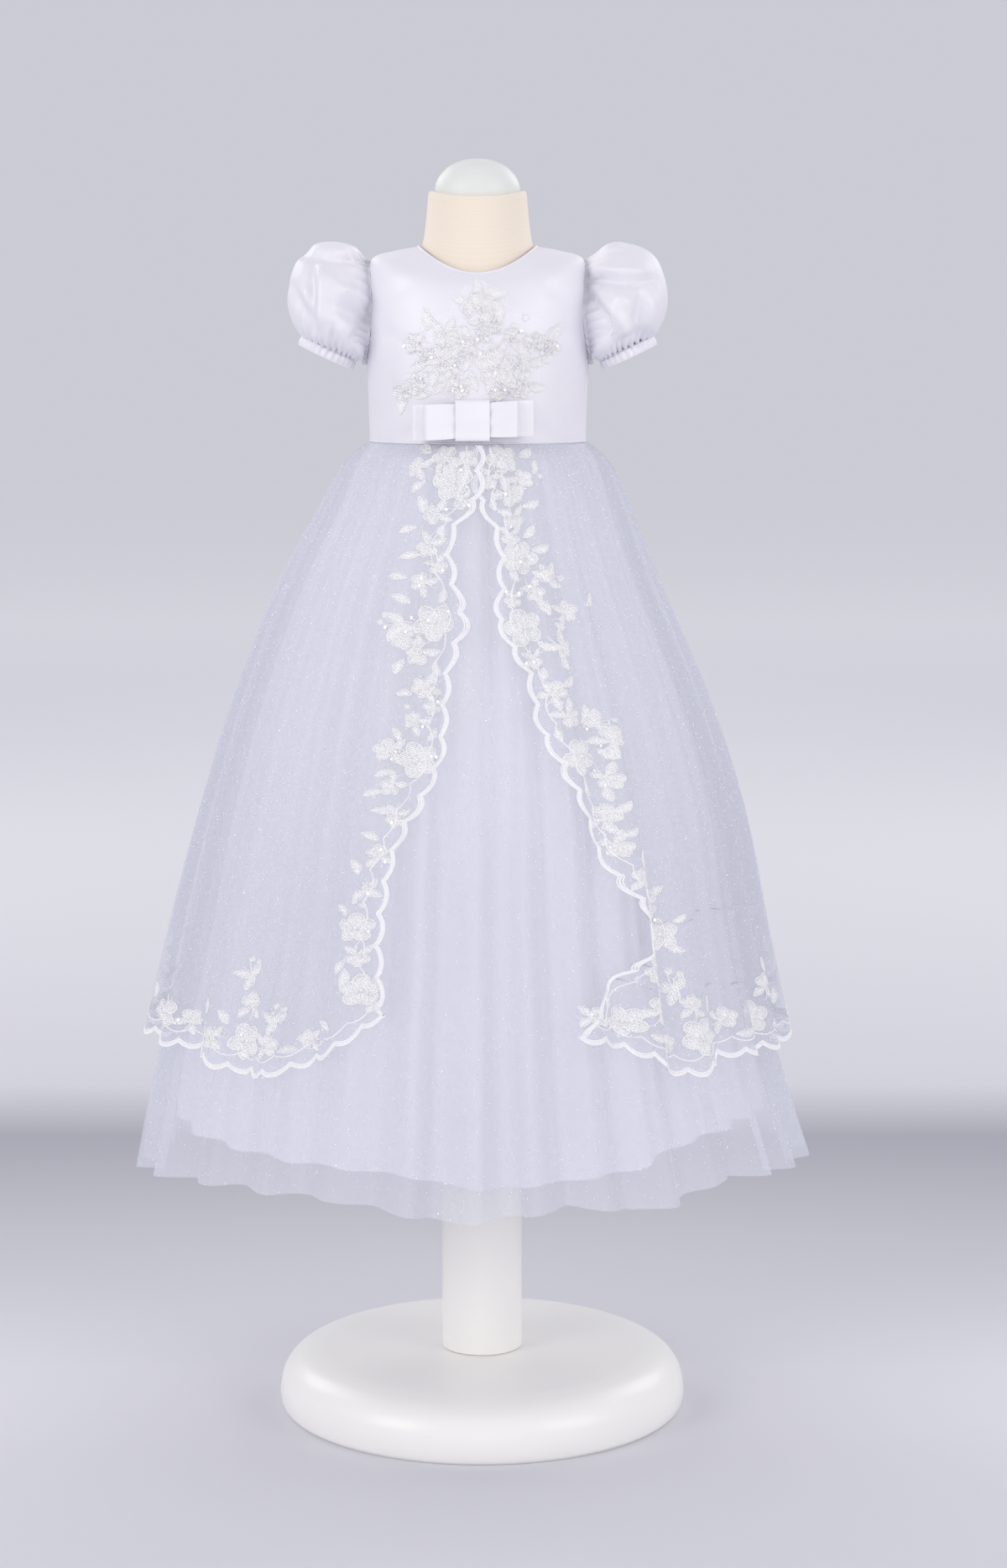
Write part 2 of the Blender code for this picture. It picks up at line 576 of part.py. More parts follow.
def make_skirts():
    """Satin lining and glitter net skirt, each a front and a back panel, under the open overskirt."""
    skirt_panel("skirt_lining_front", "lining", -90.0, 90.0, LINING_HEM, 6, 2, SATIN)
    skirt_panel("skirt_lining_back", "lining", 90.0, 270.0, LINING_HEM, 6, 2, SATIN)
    skirt_panel("net_skirt_front", "net", -90.0, 90.0, NET_HEM, 7, 4, NET)
    skirt_panel("net_skirt_back", "net", 90.0, 270.0, NET_HEM, 7, 4, NET)
    make_overskirt(-1, "right")
    make_overskirt(1, "left")


def bodice_front_at(across, up):
    """Point and normal of the bodice's front at a distance across and a height."""
    place = np.full(across.shape, 3.0)
    for _ in range(12):
        side = smooth(BODICE, place)[0]
        angle = np.arcsin(np.clip((across - BODY_X) / side, -0.99, 0.99))
        place = np.clip(place + (up - bodice(place, angle)[..., 2]) / 0.025, 0, 8)
    return bodice(place, angle), bodice_normals(place, angle)


def make_bodice_lace():
    """The lace motif sewn on the bodice's front: rings of its outline, on the bodice's own points."""
    turn = np.linspace(0, 2 * np.pi, len(LACE_REACH), endpoint=False)
    rings = np.array(LACE_RINGS)[:, None]
    across = LACE_MIDDLE[0] + rings * LACE_REACH * np.cos(turn)
    up = LACE_MIDDLE[1] + rings * LACE_REACH * np.sin(turn)
    point, normal = bodice_front_at(across, up)
    relief = MOTIF_RELIEF * np.cos(4 * turn) ** 2 * np.sin(np.pi * rings) ** 2
    inside = point + LACE_OFF * normal
    outside = inside + (CLOTH + relief[..., None]) * normal
    wall("bodice_lace", inside, outside, LACE, wrap=True)


def bow_line(across, stand_off):
    """Plan points in front of the bodice at the bow's height; the bow is flatter than the bodice."""
    half, depth = smooth(BODICE, np.array(0.55))[[0, 2]]
    drop = depth * (1 - np.sqrt(1 - np.clip((across - BODY_X) / half, -1, 1) ** 2))
    return -depth - stand_off + (1 - BOW_FLATNESS) * drop


def make_bow():
    """Two tiers of flat ribbon loops and the ribbon that binds their middle."""
    turn = np.linspace(0, 2 * np.pi, 20, endpoint=False)
    for name, (left, right, middle_off, end_off, gap) in BOW_TIERS.items():
        share = np.cos(turn)
        centre = (BOW_BAND[0] + BOW_BAND[1]) / 2
        reach = np.where(share > 0, right - centre, centre - left)
        across = centre + reach * share
        away = np.abs(share)
        opening = (BOW_CREASE + (gap - BOW_CREASE) * away) * np.clip(np.sin(turn) * 3, -1, 1)
        stand_off = middle_off + (end_off - middle_off) * away ** 1.5 + opening
        plan = np.stack([across, bow_line(across, stand_off)], -1)
        ahead = np.roll(plan, -1, axis=0) - np.roll(plan, 1, axis=0)
        normal = np.stack([ahead[:, 1], -ahead[:, 0]], -1) / np.linalg.norm(ahead, axis=-1, keepdims=True)
        normal = normal * np.sign(np.sum(normal * (plan - plan.mean(0)), -1).mean())
        rows = BOW_MIDDLE + np.array([-1, 1])[:, None] * RIBBON_HALF + BOW_TILT * (across - centre)
        inside, outside = (np.stack([np.stack([*line.T, row], -1) for row in rows])
                           for line in (plan - 0.5 * RIBBON * normal, plan + 0.5 * RIBBON * normal))
        wall(name, inside, outside, SATIN, wrap=True)
    make_bow_band()


def make_bow_band():
    """The ribbon round the middle of both tiers."""
    turn = np.linspace(0, 2 * np.pi, 16, endpoint=False)
    across = np.linspace(*BOW_BAND, 3)
    near, far = BAND_OFF
    away = np.sign(np.cos(turn)) * np.abs(np.cos(turn)) ** BAND_SQUARE
    high = np.sign(np.sin(turn)) * np.abs(np.sin(turn)) ** BAND_SQUARE
    grids = []
    for grow in (0.0, RIBBON):
        off = (near + far) / 2 + ((far - near) / 2 - 0.4 * RIBBON + grow) * away
        tall = (RIBBON_HALF + BAND_ROOM + grow) * high
        y = bow_line(across[:, None], off[None])
        grids.append(np.stack([across[:, None] + 0 * y, y, BOW_MIDDLE + tall[None] + 0 * y], -1))
    wall("bow_band", *grids, SATIN, wrap=True)


clear_scene()
make_form()
make_bodice()
make_sleeve(-1, "right")
make_sleeve(1, "left")
make_skirts()
make_bodice_lace()
make_bow()
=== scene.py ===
# %% [markdown]
# # A christening gown on a dress form
#
# A baby's gown of white satin and glitter net stands on a limbless dress form. This lesson loads the
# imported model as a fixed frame, then dresses it: every piece of cloth is worked out with numpy as a
# surface of two parameters, gets a thin wall, and takes a material with the detail the real one shows.
# Units are metres, +Z is up and the gown faces -Y.

import bmesh
import bpy
import numpy as np
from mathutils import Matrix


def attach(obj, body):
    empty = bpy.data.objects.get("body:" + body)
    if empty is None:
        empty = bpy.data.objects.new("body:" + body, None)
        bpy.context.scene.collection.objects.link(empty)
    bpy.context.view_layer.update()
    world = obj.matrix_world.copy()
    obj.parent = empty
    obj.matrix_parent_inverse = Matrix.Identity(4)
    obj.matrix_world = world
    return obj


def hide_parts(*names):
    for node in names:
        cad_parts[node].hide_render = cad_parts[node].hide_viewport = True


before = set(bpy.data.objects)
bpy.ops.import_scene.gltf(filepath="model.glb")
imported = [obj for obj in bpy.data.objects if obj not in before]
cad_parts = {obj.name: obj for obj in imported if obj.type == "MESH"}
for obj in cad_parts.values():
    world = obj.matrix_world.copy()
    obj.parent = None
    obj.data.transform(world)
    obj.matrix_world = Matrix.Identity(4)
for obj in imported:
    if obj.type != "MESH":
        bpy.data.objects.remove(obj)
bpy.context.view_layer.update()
print("nodes in the frame:", len(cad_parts))

# %% [markdown]
# ## The camera
#
# The photograph was taken with a long lens from a little above the middle of the gown, so the base is
# seen from above and the shoulders almost level. A long lens also keeps the skirt from bulging.

# %% Camera
IMAGE_HEIGHT = 1868       # pixels
FOCAL_PIXELS = 3900       # focal length in the same pixels
SENSOR_MM = 36.0
CAMERA_PLACE = (0.017, -2.519, 0.843)
CAMERA_TILT = 7.88        # degrees below the horizon

camera = bpy.data.objects.new("camera", bpy.data.cameras.new("camera"))
camera.data.sensor_width = SENSOR_MM
camera.data.lens = SENSOR_MM * FOCAL_PIXELS / IMAGE_HEIGHT
camera.location = CAMERA_PLACE
camera.rotation_euler = (np.radians(90 - CAMERA_TILT), 0, 0)
bpy.context.scene.collection.objects.link(camera)
bpy.context.scene.camera = camera
print("lens: %.1f mm" % camera.data.lens)

# %% [markdown]
# ## Helpers for meshes
#
# A surface is an array of points, rows by columns. Its faces come from slices of an array of point
# numbers, so no loop visits a vertex. A wall of cloth is two such surfaces, the outer face and the
# same points moved back along the normals, with a rim of quads along every free edge.

# %% Mesh helpers
def add_mesh(name, points, faces, material, uv=None, sharp=60.0, kinds=None):
    """A smooth mesh object; uv holds a pair for each point in metres of cloth, kinds a material number
    for each face where material is a list."""
    mesh = bpy.data.meshes.new(name)
    mesh.from_pydata(points.tolist(), [], faces)
    mesh.shade_smooth()
    mesh.set_sharp_from_angle(angle=np.radians(sharp))
    if uv is not None:
        corner = np.empty(len(mesh.loops), int)
        mesh.loops.foreach_get("vertex_index", corner)
        layer = mesh.uv_layers.new(name="cloth")
        layer.data.foreach_set("uv", uv[corner].ravel())
    for each in material if isinstance(material, list) else [material]:
        mesh.materials.append(each)
    if kinds is not None:
        mesh.polygons.foreach_set("material_index", kinds)
    piece = bpy.data.objects.new(name, mesh)
    bpy.context.scene.collection.objects.link(piece)
    return piece


def quads(number):
    """Quads between the rows and columns of an array of point numbers."""
    around = [number[:-1, :-1], number[:-1, 1:], number[1:, 1:], number[1:, :-1]]
    return np.stack(around, -1).reshape(-1, 4)


def numbers(rows, columns, wrap=False):
    """Point numbers of a grid; wrap repeats the first column at the end."""
    number = np.arange(rows * columns).reshape(rows, columns)
    return np.column_stack([number, number[:, :1]]) if wrap else number


def unit(vectors):
    """Vectors scaled to length one."""
    return vectors / np.maximum(np.linalg.norm(vectors, axis=-1, keepdims=True), 1e-12)


def grid_normals(points, wrap=False):
    """Normals of a grid: the cross product of its steps along the columns and along the rows."""
    if wrap:
        across = np.roll(points, -1, axis=1) - np.roll(points, 1, axis=1)
    else:
        across = np.gradient(points, axis=1)
    return unit(np.cross(across, np.gradient(points, axis=0)))


def distances(line):
    """Distance along a line of points to each of them."""
    return np.concatenate([[0], np.cumsum(np.linalg.norm(np.diff(line, axis=0), axis=-1))])


def longest(points, axis):
    """Length in metres of the longest column (axis 0) or row (axis 1) of a grid of points."""
    return float(np.linalg.norm(np.diff(points, axis=axis), axis=-1).sum(axis).max())


def area_of(points):
    """Area of a grid of points, from the cross products of each cell's diagonals."""
    first = points[1:, 1:] - points[:-1, :-1]
    second = points[1:, :-1] - points[:-1, 1:]
    return float(0.5 * np.linalg.norm(np.cross(first, second), axis=-1).sum())


def cloth_uv(points):
    """Distances over the cloth in metres: along the middle row, and down the middle column."""
    rows, columns = points.shape[:2]
    u, v = distances(points[rows // 2]), distances(points[:, columns // 2])
    return np.stack(np.broadcast_arrays(u, v[:, None]), -1)


def cloth(name, outside, normal, thickness, material, wrap=False, uv=None):
    """A closed thin wall of cloth: its outer face, the same face moved inwards along the normals, and a
    rim of quads along every free edge, which is one that a single face has."""
    points, normal = outside.reshape(-1, 3), normal.reshape(-1, 3)
    faces = quads(numbers(*outside.shape[:2], wrap))
    uv = (cloth_uv(outside) if uv is None else uv).reshape(-1, 2)
    count = len(points)
    first, second, third, fourth = (points[faces[:, k]] for k in range(4))
    if np.sum(np.cross(third - first, fourth - second) * normal[faces[:, 0]]) < 0:
        faces = faces[:, ::-1]
    start, end = faces.ravel(), np.roll(faces, -1, axis=1).ravel()
    free = ~np.isin(start * count + end, end * count + start)
    start, end = start[free], end[free]
    rims = np.stack([end, start, start + count, end + count], -1)
    every = faces.tolist() + (faces[:, ::-1] + count).tolist() + rims.tolist()
    both = np.concatenate([points, points - thickness * normal])
    return add_mesh(name, both, every, material, np.concatenate([uv, uv]))


def finish_piece(piece, slot, *nodes):
    """The piece rides on the one body and stands for the nodes given; its slot is not used."""
    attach(piece, "root")
    if nodes:
        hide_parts(*nodes)
    triangles = sum(len(face.vertices) - 2 for face in piece.data.polygons)
    print("%-22s %7d triangles" % (piece.name, triangles))
    return piece


# %% [markdown]
# ## Helpers for materials
#
# Colours are chosen as sRGB hex values and turned to the linear values that the shader works in. Each
# material is a Principled shader with a few nodes in front of it for weave, glitter or knit.

# %% Material helpers
def linear(code):
    """An sRGB hex colour as linear red, green and blue with an alpha of one."""
    parts = np.array([int(code[i:i + 2], 16) for i in (1, 3, 5)]) / 255
    parts = np.where(parts <= 0.04045, parts / 12.92, ((parts + 0.055) / 1.055) ** 2.4)
    return (*parts, 1.0)


def add_node(tree, kind, values=None, links=None, **settings):
    """One node: settings are its own properties, values fill its sockets, links join outputs to them."""
    item = tree.nodes.new(kind)
    for key, value in settings.items():
        setattr(item, key, value)
    for key, value in (values or {}).items():
        item.inputs[key].default_value = value
    for key, source in (links or {}).items():
        tree.links.new(source, item.inputs[key])
    return item


def new_material(name, colour, **values):
    """A material with its node tree and its Principled shader."""
    material = bpy.data.materials.new(name)
    material.use_nodes = True
    tree = material.node_tree
    shader = tree.nodes["Principled BSDF"]
    shader.inputs["Base Color"].default_value = linear(colour)
    for key, value in values.items():
        shader.inputs[key.replace("_", " ").title().replace("Ior", "IOR")].default_value = value
    return material, tree, shader


def bump(tree, shader, height, strength, distance):
    """Drives the shader's normal from a height."""
    result = add_node(tree, "ShaderNodeBump", {"Strength": strength, "Distance": distance},
                      {"Height": height})
    tree.links.new(result.outputs["Normal"], shader.inputs["Normal"])


def two_colours(tree, shader, factor, first, second):
    """Base colour that moves between two hex colours with a factor."""
    mix = add_node(tree, "ShaderNodeMix", {"A": linear(first), "B": linear(second)}, {"Factor": factor},
                   data_type="RGBA")
    tree.links.new(mix.outputs["Result"], shader.inputs["Base Color"])


def own_place(tree):
    """The point's place on its own object, in metres."""
    return add_node(tree, "ShaderNodeTexCoord").outputs["Object"]


def cloth_place(tree):
    """The point's place on the cloth, in metres along and down."""
    return add_node(tree, "ShaderNodeUVMap", uv_map="cloth").outputs["UV"]


def mapped(tree, value, low, high, start=0.0, end=1.0):
    """A value between start and end turned to one between low and high."""
    return add_node(tree, "ShaderNodeMapRange", {"From Min": start, "From Max": end, "To Min": low,
                                                 "To Max": high}, {"Value": value}).outputs[0]


def combined(tree, first, second, operation):
    """Two values joined by a sum, a product or the larger of both."""
    return add_node(tree, "ShaderNodeMath", None, {0: first, 1: second}, operation=operation).outputs[0]


def noise(tree, place, scale, detail):
    """A soft noise, whose cells are one over its scale in metres."""
    return add_node(tree, "ShaderNodeTexNoise", {"Scale": scale, "Detail": detail},
                    {"Vector": place}).outputs["Fac"]


def bands(tree, place, spacing, direction, distortion, **values):
    """Waves a spacing apart. At a scale of one, they repeat every 2 pi / 20 along X or Y, and every
    2 pi / (10 sqrt(n)) on the diagonal, where n is 2 on the cloth and 3 in space."""
    per_metre = {"X": 20, "Y": 20, "CLOTH": 10 * 2 ** 0.5, "SPACE": 10 * 3 ** 0.5}[direction]
    values = {"Scale": 2 * np.pi / per_metre / spacing, "Distortion": distortion, **values}
    axis = direction if direction in "XY" else "DIAGONAL"
    return add_node(tree, "ShaderNodeTexWave", values, {"Vector": place}, bands_direction=axis).outputs["Fac"]


# %% [markdown]
# ## Satin
#
# Duchess satin is woven so that long threads float on its face, which gives it a smooth, soft gloss
# that runs across the floats. The threads are about 0.1 mm apart, too fine to show here, so the twill
# lines are drawn 1.9 mm apart and very shallow. A slow noise stands for the slight unevenness of a
# pressed cloth, and a faint cool shade is painted into its colour where that noise lies low.

# %% Satin
SATIN_LINES = 0.001944    # drawn coarser than the real 0.1 mm, so that they show at all
SATIN_RELIEF = 0.0012
UNEVEN = 38.0             # cells of 26 mm


def make_satin(name, colour, painted_shade, roughness):
    """Woven satin: fine diagonal threads, soft sheen and a faint cool shade painted into its hollows."""
    material, tree, shader = new_material(name, colour, roughness=roughness, sheen_weight=0.1,
                                          sheen_roughness=0.35, anisotropic=0.3, metallic=0.12)
    slow = noise(tree, own_place(tree), UNEVEN, 2.0)
    lines = bands(tree, cloth_place(tree), SATIN_LINES, "CLOTH", 1.5)
    height = add_node(tree, "ShaderNodeMath", {1: 0.06}, {0: lines}, operation="MULTIPLY").outputs[0]
    bump(tree, shader, combined(tree, height, slow, "ADD"), 0.25, SATIN_RELIEF)
    two_colours(tree, shader, slow, painted_shade, colour)
    return material


# The second colour of each satin is a painted shade for the hollows of its slow noise.
satin = make_satin("white duchess satin", "#F3F2F8", "#ECEBF3", 0.52)
ribbon_satin = make_satin("white satin ribbon", "#F8F7FB", "#F1F0F7", 0.36)
# The lining is drawn a shade darker than the gown's satin: painted shade for the nets over it, which cast no
# shadows.
lining_satin = make_satin("white lining satin", "#E8E8F0", "#E2E2EB", 0.45)
print("satins:", satin.name, ribbon_satin.name, lining_satin.name)

# %% [markdown]
# ## Glitter net
#
# Soft tulle has hexagonal holes of about 1 mm, finer than the picture shows, so it is drawn as an even
# veil: part of the light passes, and long streaks down the cloth make it a little denser in places.
# Flat dots of glitter, 0.6 mm across and about 4 mm apart, are glued on it. They are opaque and glossy.

# %% Net
NET_OPACITY = 0.30        # of one face; a wall has two
OVER_NET_OPACITY = 0.28
LACE_NET_OPACITY = 0.10
GLITTER_SPACING = 0.0042
GLITTER_SIZE = 0.00032    # half across
STREAKS = (110.0, 2.0, 1.0)    # about 9 mm wide and 0.5 m long
STREAK_SHARE = 0.04       # how much denser or thinner they are


def make_net(name, colour, opacity, glitter):
    """Tulle that lets part of the light through, with small opaque dots where a cell's centre is near."""
    material, tree, shader = new_material(name, colour, roughness=0.65, sheen_weight=0.15,
                                          sheen_roughness=0.4)
    cells = add_node(tree, "ShaderNodeTexVoronoi", {"Scale": 1 / GLITTER_SPACING, "Randomness": 1.0},
                     {"Vector": own_place(tree)})
    reach = GLITTER_SIZE / GLITTER_SPACING * glitter
    dot = mapped(tree, cells.outputs["Distance"], 1.0, 0.0, reach, reach * 1.25)
    along = add_node(tree, "ShaderNodeMapping", {"Scale": STREAKS}, {"Vector": cloth_place(tree)})
    veil = mapped(tree, noise(tree, along.outputs[0], 1.0, 1.0), opacity * (1 - STREAK_SHARE),
                  opacity * (1 + STREAK_SHARE), 0.3, 0.7)
    tree.links.new(combined(tree, veil, dot, "MAXIMUM"), shader.inputs["Alpha"])
    two_colours(tree, shader, dot, colour, "#FFFFFF")
    tree.links.new(mapped(tree, dot, 0.65, 0.25), shader.inputs["Roughness"])
    return material


net = make_net("glitter tulle", "#E4E6F1", NET_OPACITY, 1.0)
over_net = make_net("fine glitter tulle", "#E3E5F1", OVER_NET_OPACITY, 1.0)
lace_net = make_net("embroidery net", "#F6F6FC", LACE_NET_OPACITY, 0.0)
print("nets:", net.name, over_net.name, lace_net.name)

# %% [markdown]
# ## Embroidery thread, beads and sequins
#
# The lace is embroidered with matt cotton and rayon thread, so it looks whiter and more solid than the
# net behind it. Its stitches lie side by side, about 0.4 mm apart, and are drawn 1.1 mm apart. The
# beads are pearl-like plastic with a clear coat, and the sequins are clear discs with a faint sheen.

# %% Thread, beads, sequins
STITCH = 0.0011336        # drawn coarser than the real 0.4 mm, so that the rows show
STITCH_RELIEF = 0.0004


def make_thread(name, colour, painted_shade, ridge, gaps=0.0):
    """Embroidery: rows of stitches as fine ridges, with painted shade in the valleys between them and gaps
    there through which the net shows.
    """
    material, tree, shader = new_material(name, colour, roughness=0.55, sheen_weight=0.3,
                                          sheen_roughness=0.5)
    stitches = bands(tree, own_place(tree), STITCH, "SPACE", 4.0, Detail=1.0, **{"Detail Scale": 2.0})
    bump(tree, shader, stitches, ridge, STITCH_RELIEF)
    # Painted shade: the valleys between the stitches take the darker colour.
    two_colours(tree, shader, stitches, painted_shade, colour)
    if gaps:
        tree.links.new(mapped(tree, stitches, 1 - gaps, 1.0, 0.2, 0.8), shader.inputs["Alpha"])
    return material


thread = make_thread("white embroidery thread", "#FFFFFF", "#F4F4FA", 0.4, 0.85)
cord_thread = make_thread("white corded thread", "#FFFFFF", "#F4F4FA", 0.25)
pearl = new_material("pearl bead", "#F6F3F5", roughness=0.18, coat_weight=0.6, coat_roughness=0.08)[0]
sequin = new_material("clear sequin", "#F4F4FB", roughness=0.12, metallic=0.25, coat_weight=0.5)[0]
flake = new_material("glitter flake", "#FFFDF6", roughness=0.15, metallic=0.6)[0]
print("trims:", thread.name, pearl.name, sequin.name)

# %% [markdown]
# ## Plastics and jersey of the form
#
# The form's cover is cotton jersey, a knit whose loops stand in columns about 1 mm apart. The pole and
# the base are moulded ABS with a satin gloss, and the cap on the neck is a greenish white plastic.
# Moulded plastic is never perfectly even: a slow noise varies its gloss, and a fine, very shallow one
# bends its highlights a little.

# %% Jersey and plastics
LOOP = 0.00216            # drawn twice as coarse as the real 1 mm, so that the knit shows
LOOP_RELIEF = 0.0004
GLOSS_CELLS, PEEL_CELLS, PEEL_RELIEF = 22.0, 900.0, 0.0003


def make_jersey():
    """Cotton jersey: small loops in columns, from two crossed waves on the cloth's own measure, with painted
    shade in the hollows between the loops.
    """
    material, tree, shader = new_material("cream cotton jersey", "#F3E6D3", roughness=0.85,
                                          sheen_weight=0.35, sheen_roughness=0.5)
    place = cloth_place(tree)
    loops = combined(tree, bands(tree, place, LOOP, "X", 0.6), bands(tree, place, LOOP, "Y", 0.8), "MULTIPLY")
    bump(tree, shader, loops, 0.12, LOOP_RELIEF)
    # Painted shade: the knit's hollows take the darker of the two colours.
    two_colours(tree, shader, loops, "#F5E9D8", "#F9EEDF")
    return material


def make_plastic(name, colour, roughness, coat):
    """Moulded ABS: even colour, satin gloss and a faint unevenness that bends the highlights."""
    material, tree, shader = new_material(name, colour, roughness=roughness, coat_weight=coat,
                                          coat_roughness=0.12, ior=1.53)
    place = own_place(tree)
    slow = noise(tree, place, GLOSS_CELLS, 2.0)
    tree.links.new(mapped(tree, slow, roughness - 0.04, roughness + 0.06), shader.inputs["Roughness"])
    bump(tree, shader, noise(tree, place, PEEL_CELLS, 1.0), 0.05, PEEL_RELIEF)
    return material


jersey = make_jersey()
stand_plastic = make_plastic("satin ABS", "#FBFAF7", 0.38, 0.15)
cap_plastic = make_plastic("greenish white ABS", "#E9ECE8", 0.45, 0.05)
print("form:", jersey.name, stand_plastic.name, cap_plastic.name)

# %% [markdown]
# ## The floor
#
# A pale floor runs to the horizon on all sides, where it meets a sky of its own tone, so the object
# stands free from every side. Light and shade are painted into its colour from front to back: painted
# light round the base, a painted shadow darkest just behind the gown, and pale again beyond, up to
# white far off.

# %% Floor
FLOOR_HALF = 16.0
PAINTED_SHADING_HALF = 10           # the tones below are read from 10 m in front to 10 m behind
# Painted light and shade of the floor by its place from front to back: metres, colour
PAINTED_FLOOR_SHADING = ((-5.0, "#FFFFFF"), (-0.9, "#D4D4DA"), (0.1, "#E1E1E7"), (0.85, "#ABABB4"),
               (1.10, "#D6D6DC"), (3.0, "#E6E6EA"), (7.0, "#FFFFFF"))

paper, paper_tree, paper_shader = new_material("lavender white paper", "#DCDDE9", roughness=1.0,
                                               specular_ior_level=0.0)
floor_place = add_node(paper_tree, "ShaderNodeSeparateXYZ", None, {0: own_place(paper_tree)})
floor_share = mapped(paper_tree, floor_place.outputs["Y"], 0.0, 1.0, -PAINTED_SHADING_HALF, PAINTED_SHADING_HALF)
painted_shading_ramp = add_node(paper_tree, "ShaderNodeValToRGB", None, {"Fac": floor_share})
ramp = painted_shading_ramp.color_ramp.elements
shares = [(metres + PAINTED_SHADING_HALF) / (2 * PAINTED_SHADING_HALF) for metres, _ in PAINTED_FLOOR_SHADING]
for share in shares[2:]:
    ramp.new(share)
for element, share, (_, code) in zip(ramp, shares, PAINTED_FLOOR_SHADING):
    element.position, element.color = share, linear(code)
paper_tree.links.new(painted_shading_ramp.outputs["Color"], paper_shader.inputs["Base Color"])
corners = FLOOR_HALF * np.array([[-1, -1, 0], [1, -1, 0], [1, 1, 0], [-1, 1, 0]], float)
floor = add_mesh("floor", corners, [[0, 1, 2, 3]], paper)
print("floor:", len(floor.data.polygons), "face")

# %% [markdown]
# ## Light
#
# Large soft boxes stand to the left and right, in front and behind, so the shadows are faint and the
# gown's folds show by soft shading. A lavender sky fills the shadows, and a wide box washes the floor
# behind the gown.

# %% Lights
WARM, COOL = "#FFFBF4", "#FAFAFF"
# Name, place, target, width and height in metres, power in watts, colour
SOFTBOXES = (
    ("left softbox", (-2.7, -2.1, 1.9), (0, 0, 0.4), (1.8, 1.8), 36, WARM),
    ("right softbox", (2.8, -2.0, 1.8), (0, 0, 0.4), (1.8, 1.8), 30, WARM),
    ("front fill", (0.2, -3.5, 0.8), (0, 0, 0.2), (2.0, 1.2), 8, WARM),
    ("left back softbox", (-2.2, 2.4, 2.3), (0, 0, 0.4), (1.6, 1.6), 20, WARM),
    ("right back softbox", (2.2, 2.4, 2.3), (0, 0, 0.4), (1.6, 1.6), 20, WARM),
    ("floor wash", (0.0, 4.0, 4.0), (0, 4.2, 0.0), (8.0, 3.0), 26, COOL),
)
SKY, SKY_STRENGTH = "#F0F1FB", 0.68


def add_softbox(name, place, target, size, power, colour):
    """A rectangular area light that looks from its place to a target."""
    light = bpy.data.lights.new(name, "AREA")
    light.shape = "RECTANGLE"
    light.size, light.size_y = size
    light.energy = power
    light.color = linear(colour)[:3]
    item = bpy.data.objects.new(name, light)
    item.location = place
    away = np.array(target, float) - np.array(place, float)
    flat = np.hypot(away[0], away[1])
    item.rotation_euler = (np.arctan2(flat, -away[2]), 0, np.arctan2(away[1], away[0]) - np.pi / 2)
    bpy.context.scene.collection.objects.link(item)


for box in SOFTBOXES:
    add_softbox(*box)

world = bpy.data.worlds.new("soft sky")
world.use_nodes = True
sky = world.node_tree.nodes["Background"]
sky.inputs["Color"].default_value = linear(SKY)
sky.inputs["Strength"].default_value = SKY_STRENGTH
bpy.context.scene.world = world
bpy.context.scene.view_settings.view_transform = "Standard"

# %% [markdown]
# ## The sections of the gown
#
# The solid model gives the gown's form in a few short tables, and this lesson reads the same ones, so
# a fine surface lies where its solid does. A Catmull-Rom curve through the rows makes them smooth.

# %% Tables and how they are read
BODY_X = -0.0027
SEAM = 0.0003

# Bodice sections: side half width and height, front depth and height, back depth and height
BODICE = (
    (0.0826, 0.7595, 0.0700, 0.7595, 0.0680, 0.7595),    # waist
    (0.0835, 0.7900, 0.0712, 0.7900, 0.0690, 0.7900),    # ribs
    (0.0845, 0.8170, 0.0708, 0.8150, 0.0692, 0.8170),    # underarm
    (0.0845, 0.8380, 0.0695, 0.8320, 0.0685, 0.8420),    # lower armhole
    (0.0845, 0.8580, 0.0670, 0.8480, 0.0665, 0.8620),    # middle of the armhole
    (0.0840, 0.8800, 0.0630, 0.8620, 0.0640, 0.8800),    # upper armhole
    (0.0800, 0.8975, 0.0575, 0.8750, 0.0590, 0.8930),    # shoulder point
    (0.0620, 0.9035, 0.0520, 0.8815, 0.0500, 0.9000),    # middle of the shoulder seam
    (0.0450, 0.9065, 0.0470, 0.8855, 0.0400, 0.9045),    # neckline
)
# Edge of the armhole: place among the rows above, angle from the middle of the front or back
ARMHOLE = ((2.0, 90.0), (2.35, 81.0), (3.0, 74.0), (4.0, 70.5), (5.0, 73.0), (5.6, 80.0), (6.0, 90.0))
ARMHOLE_ROWS = 2.0, 6.0

# Outer face of the skirts: height, half width to -X and to +X, front depth, back depth,
# how far the folds have grown, how far the net skirt and the lining lie inside
SKIRT = (
    (0.7592, 0.0870, 0.0810, 0.0725, 0.0705, 0.00, 0.0019, 0.0036),
    (0.7440, 0.1040, 0.0980, 0.0850, 0.0840, 0.12, 0.0045, 0.0100),
    (0.7120, 0.1220, 0.1130, 0.0970, 0.0980, 0.22, 0.0070, 0.0160),
    (0.6470, 0.1565, 0.1380, 0.1190, 0.1220, 0.36, 0.0090, 0.0200),
    (0.5630, 0.1890, 0.1730, 0.1450, 0.1490, 0.50, 0.0100, 0.0230),
    (0.4770, 0.2150, 0.2000, 0.1680, 0.1710, 0.65, 0.0110, 0.0260),
    (0.3840, 0.2390, 0.2180, 0.1870, 0.1890, 0.80, 0.0152, 0.0320),
    (0.2840, 0.2600, 0.2380, 0.2030, 0.2040, 0.92, 0.0130, 0.0310),
    (0.1850, 0.2680, 0.2580, 0.2120, 0.2130, 1.00, 0.0020, 0.0280),
)
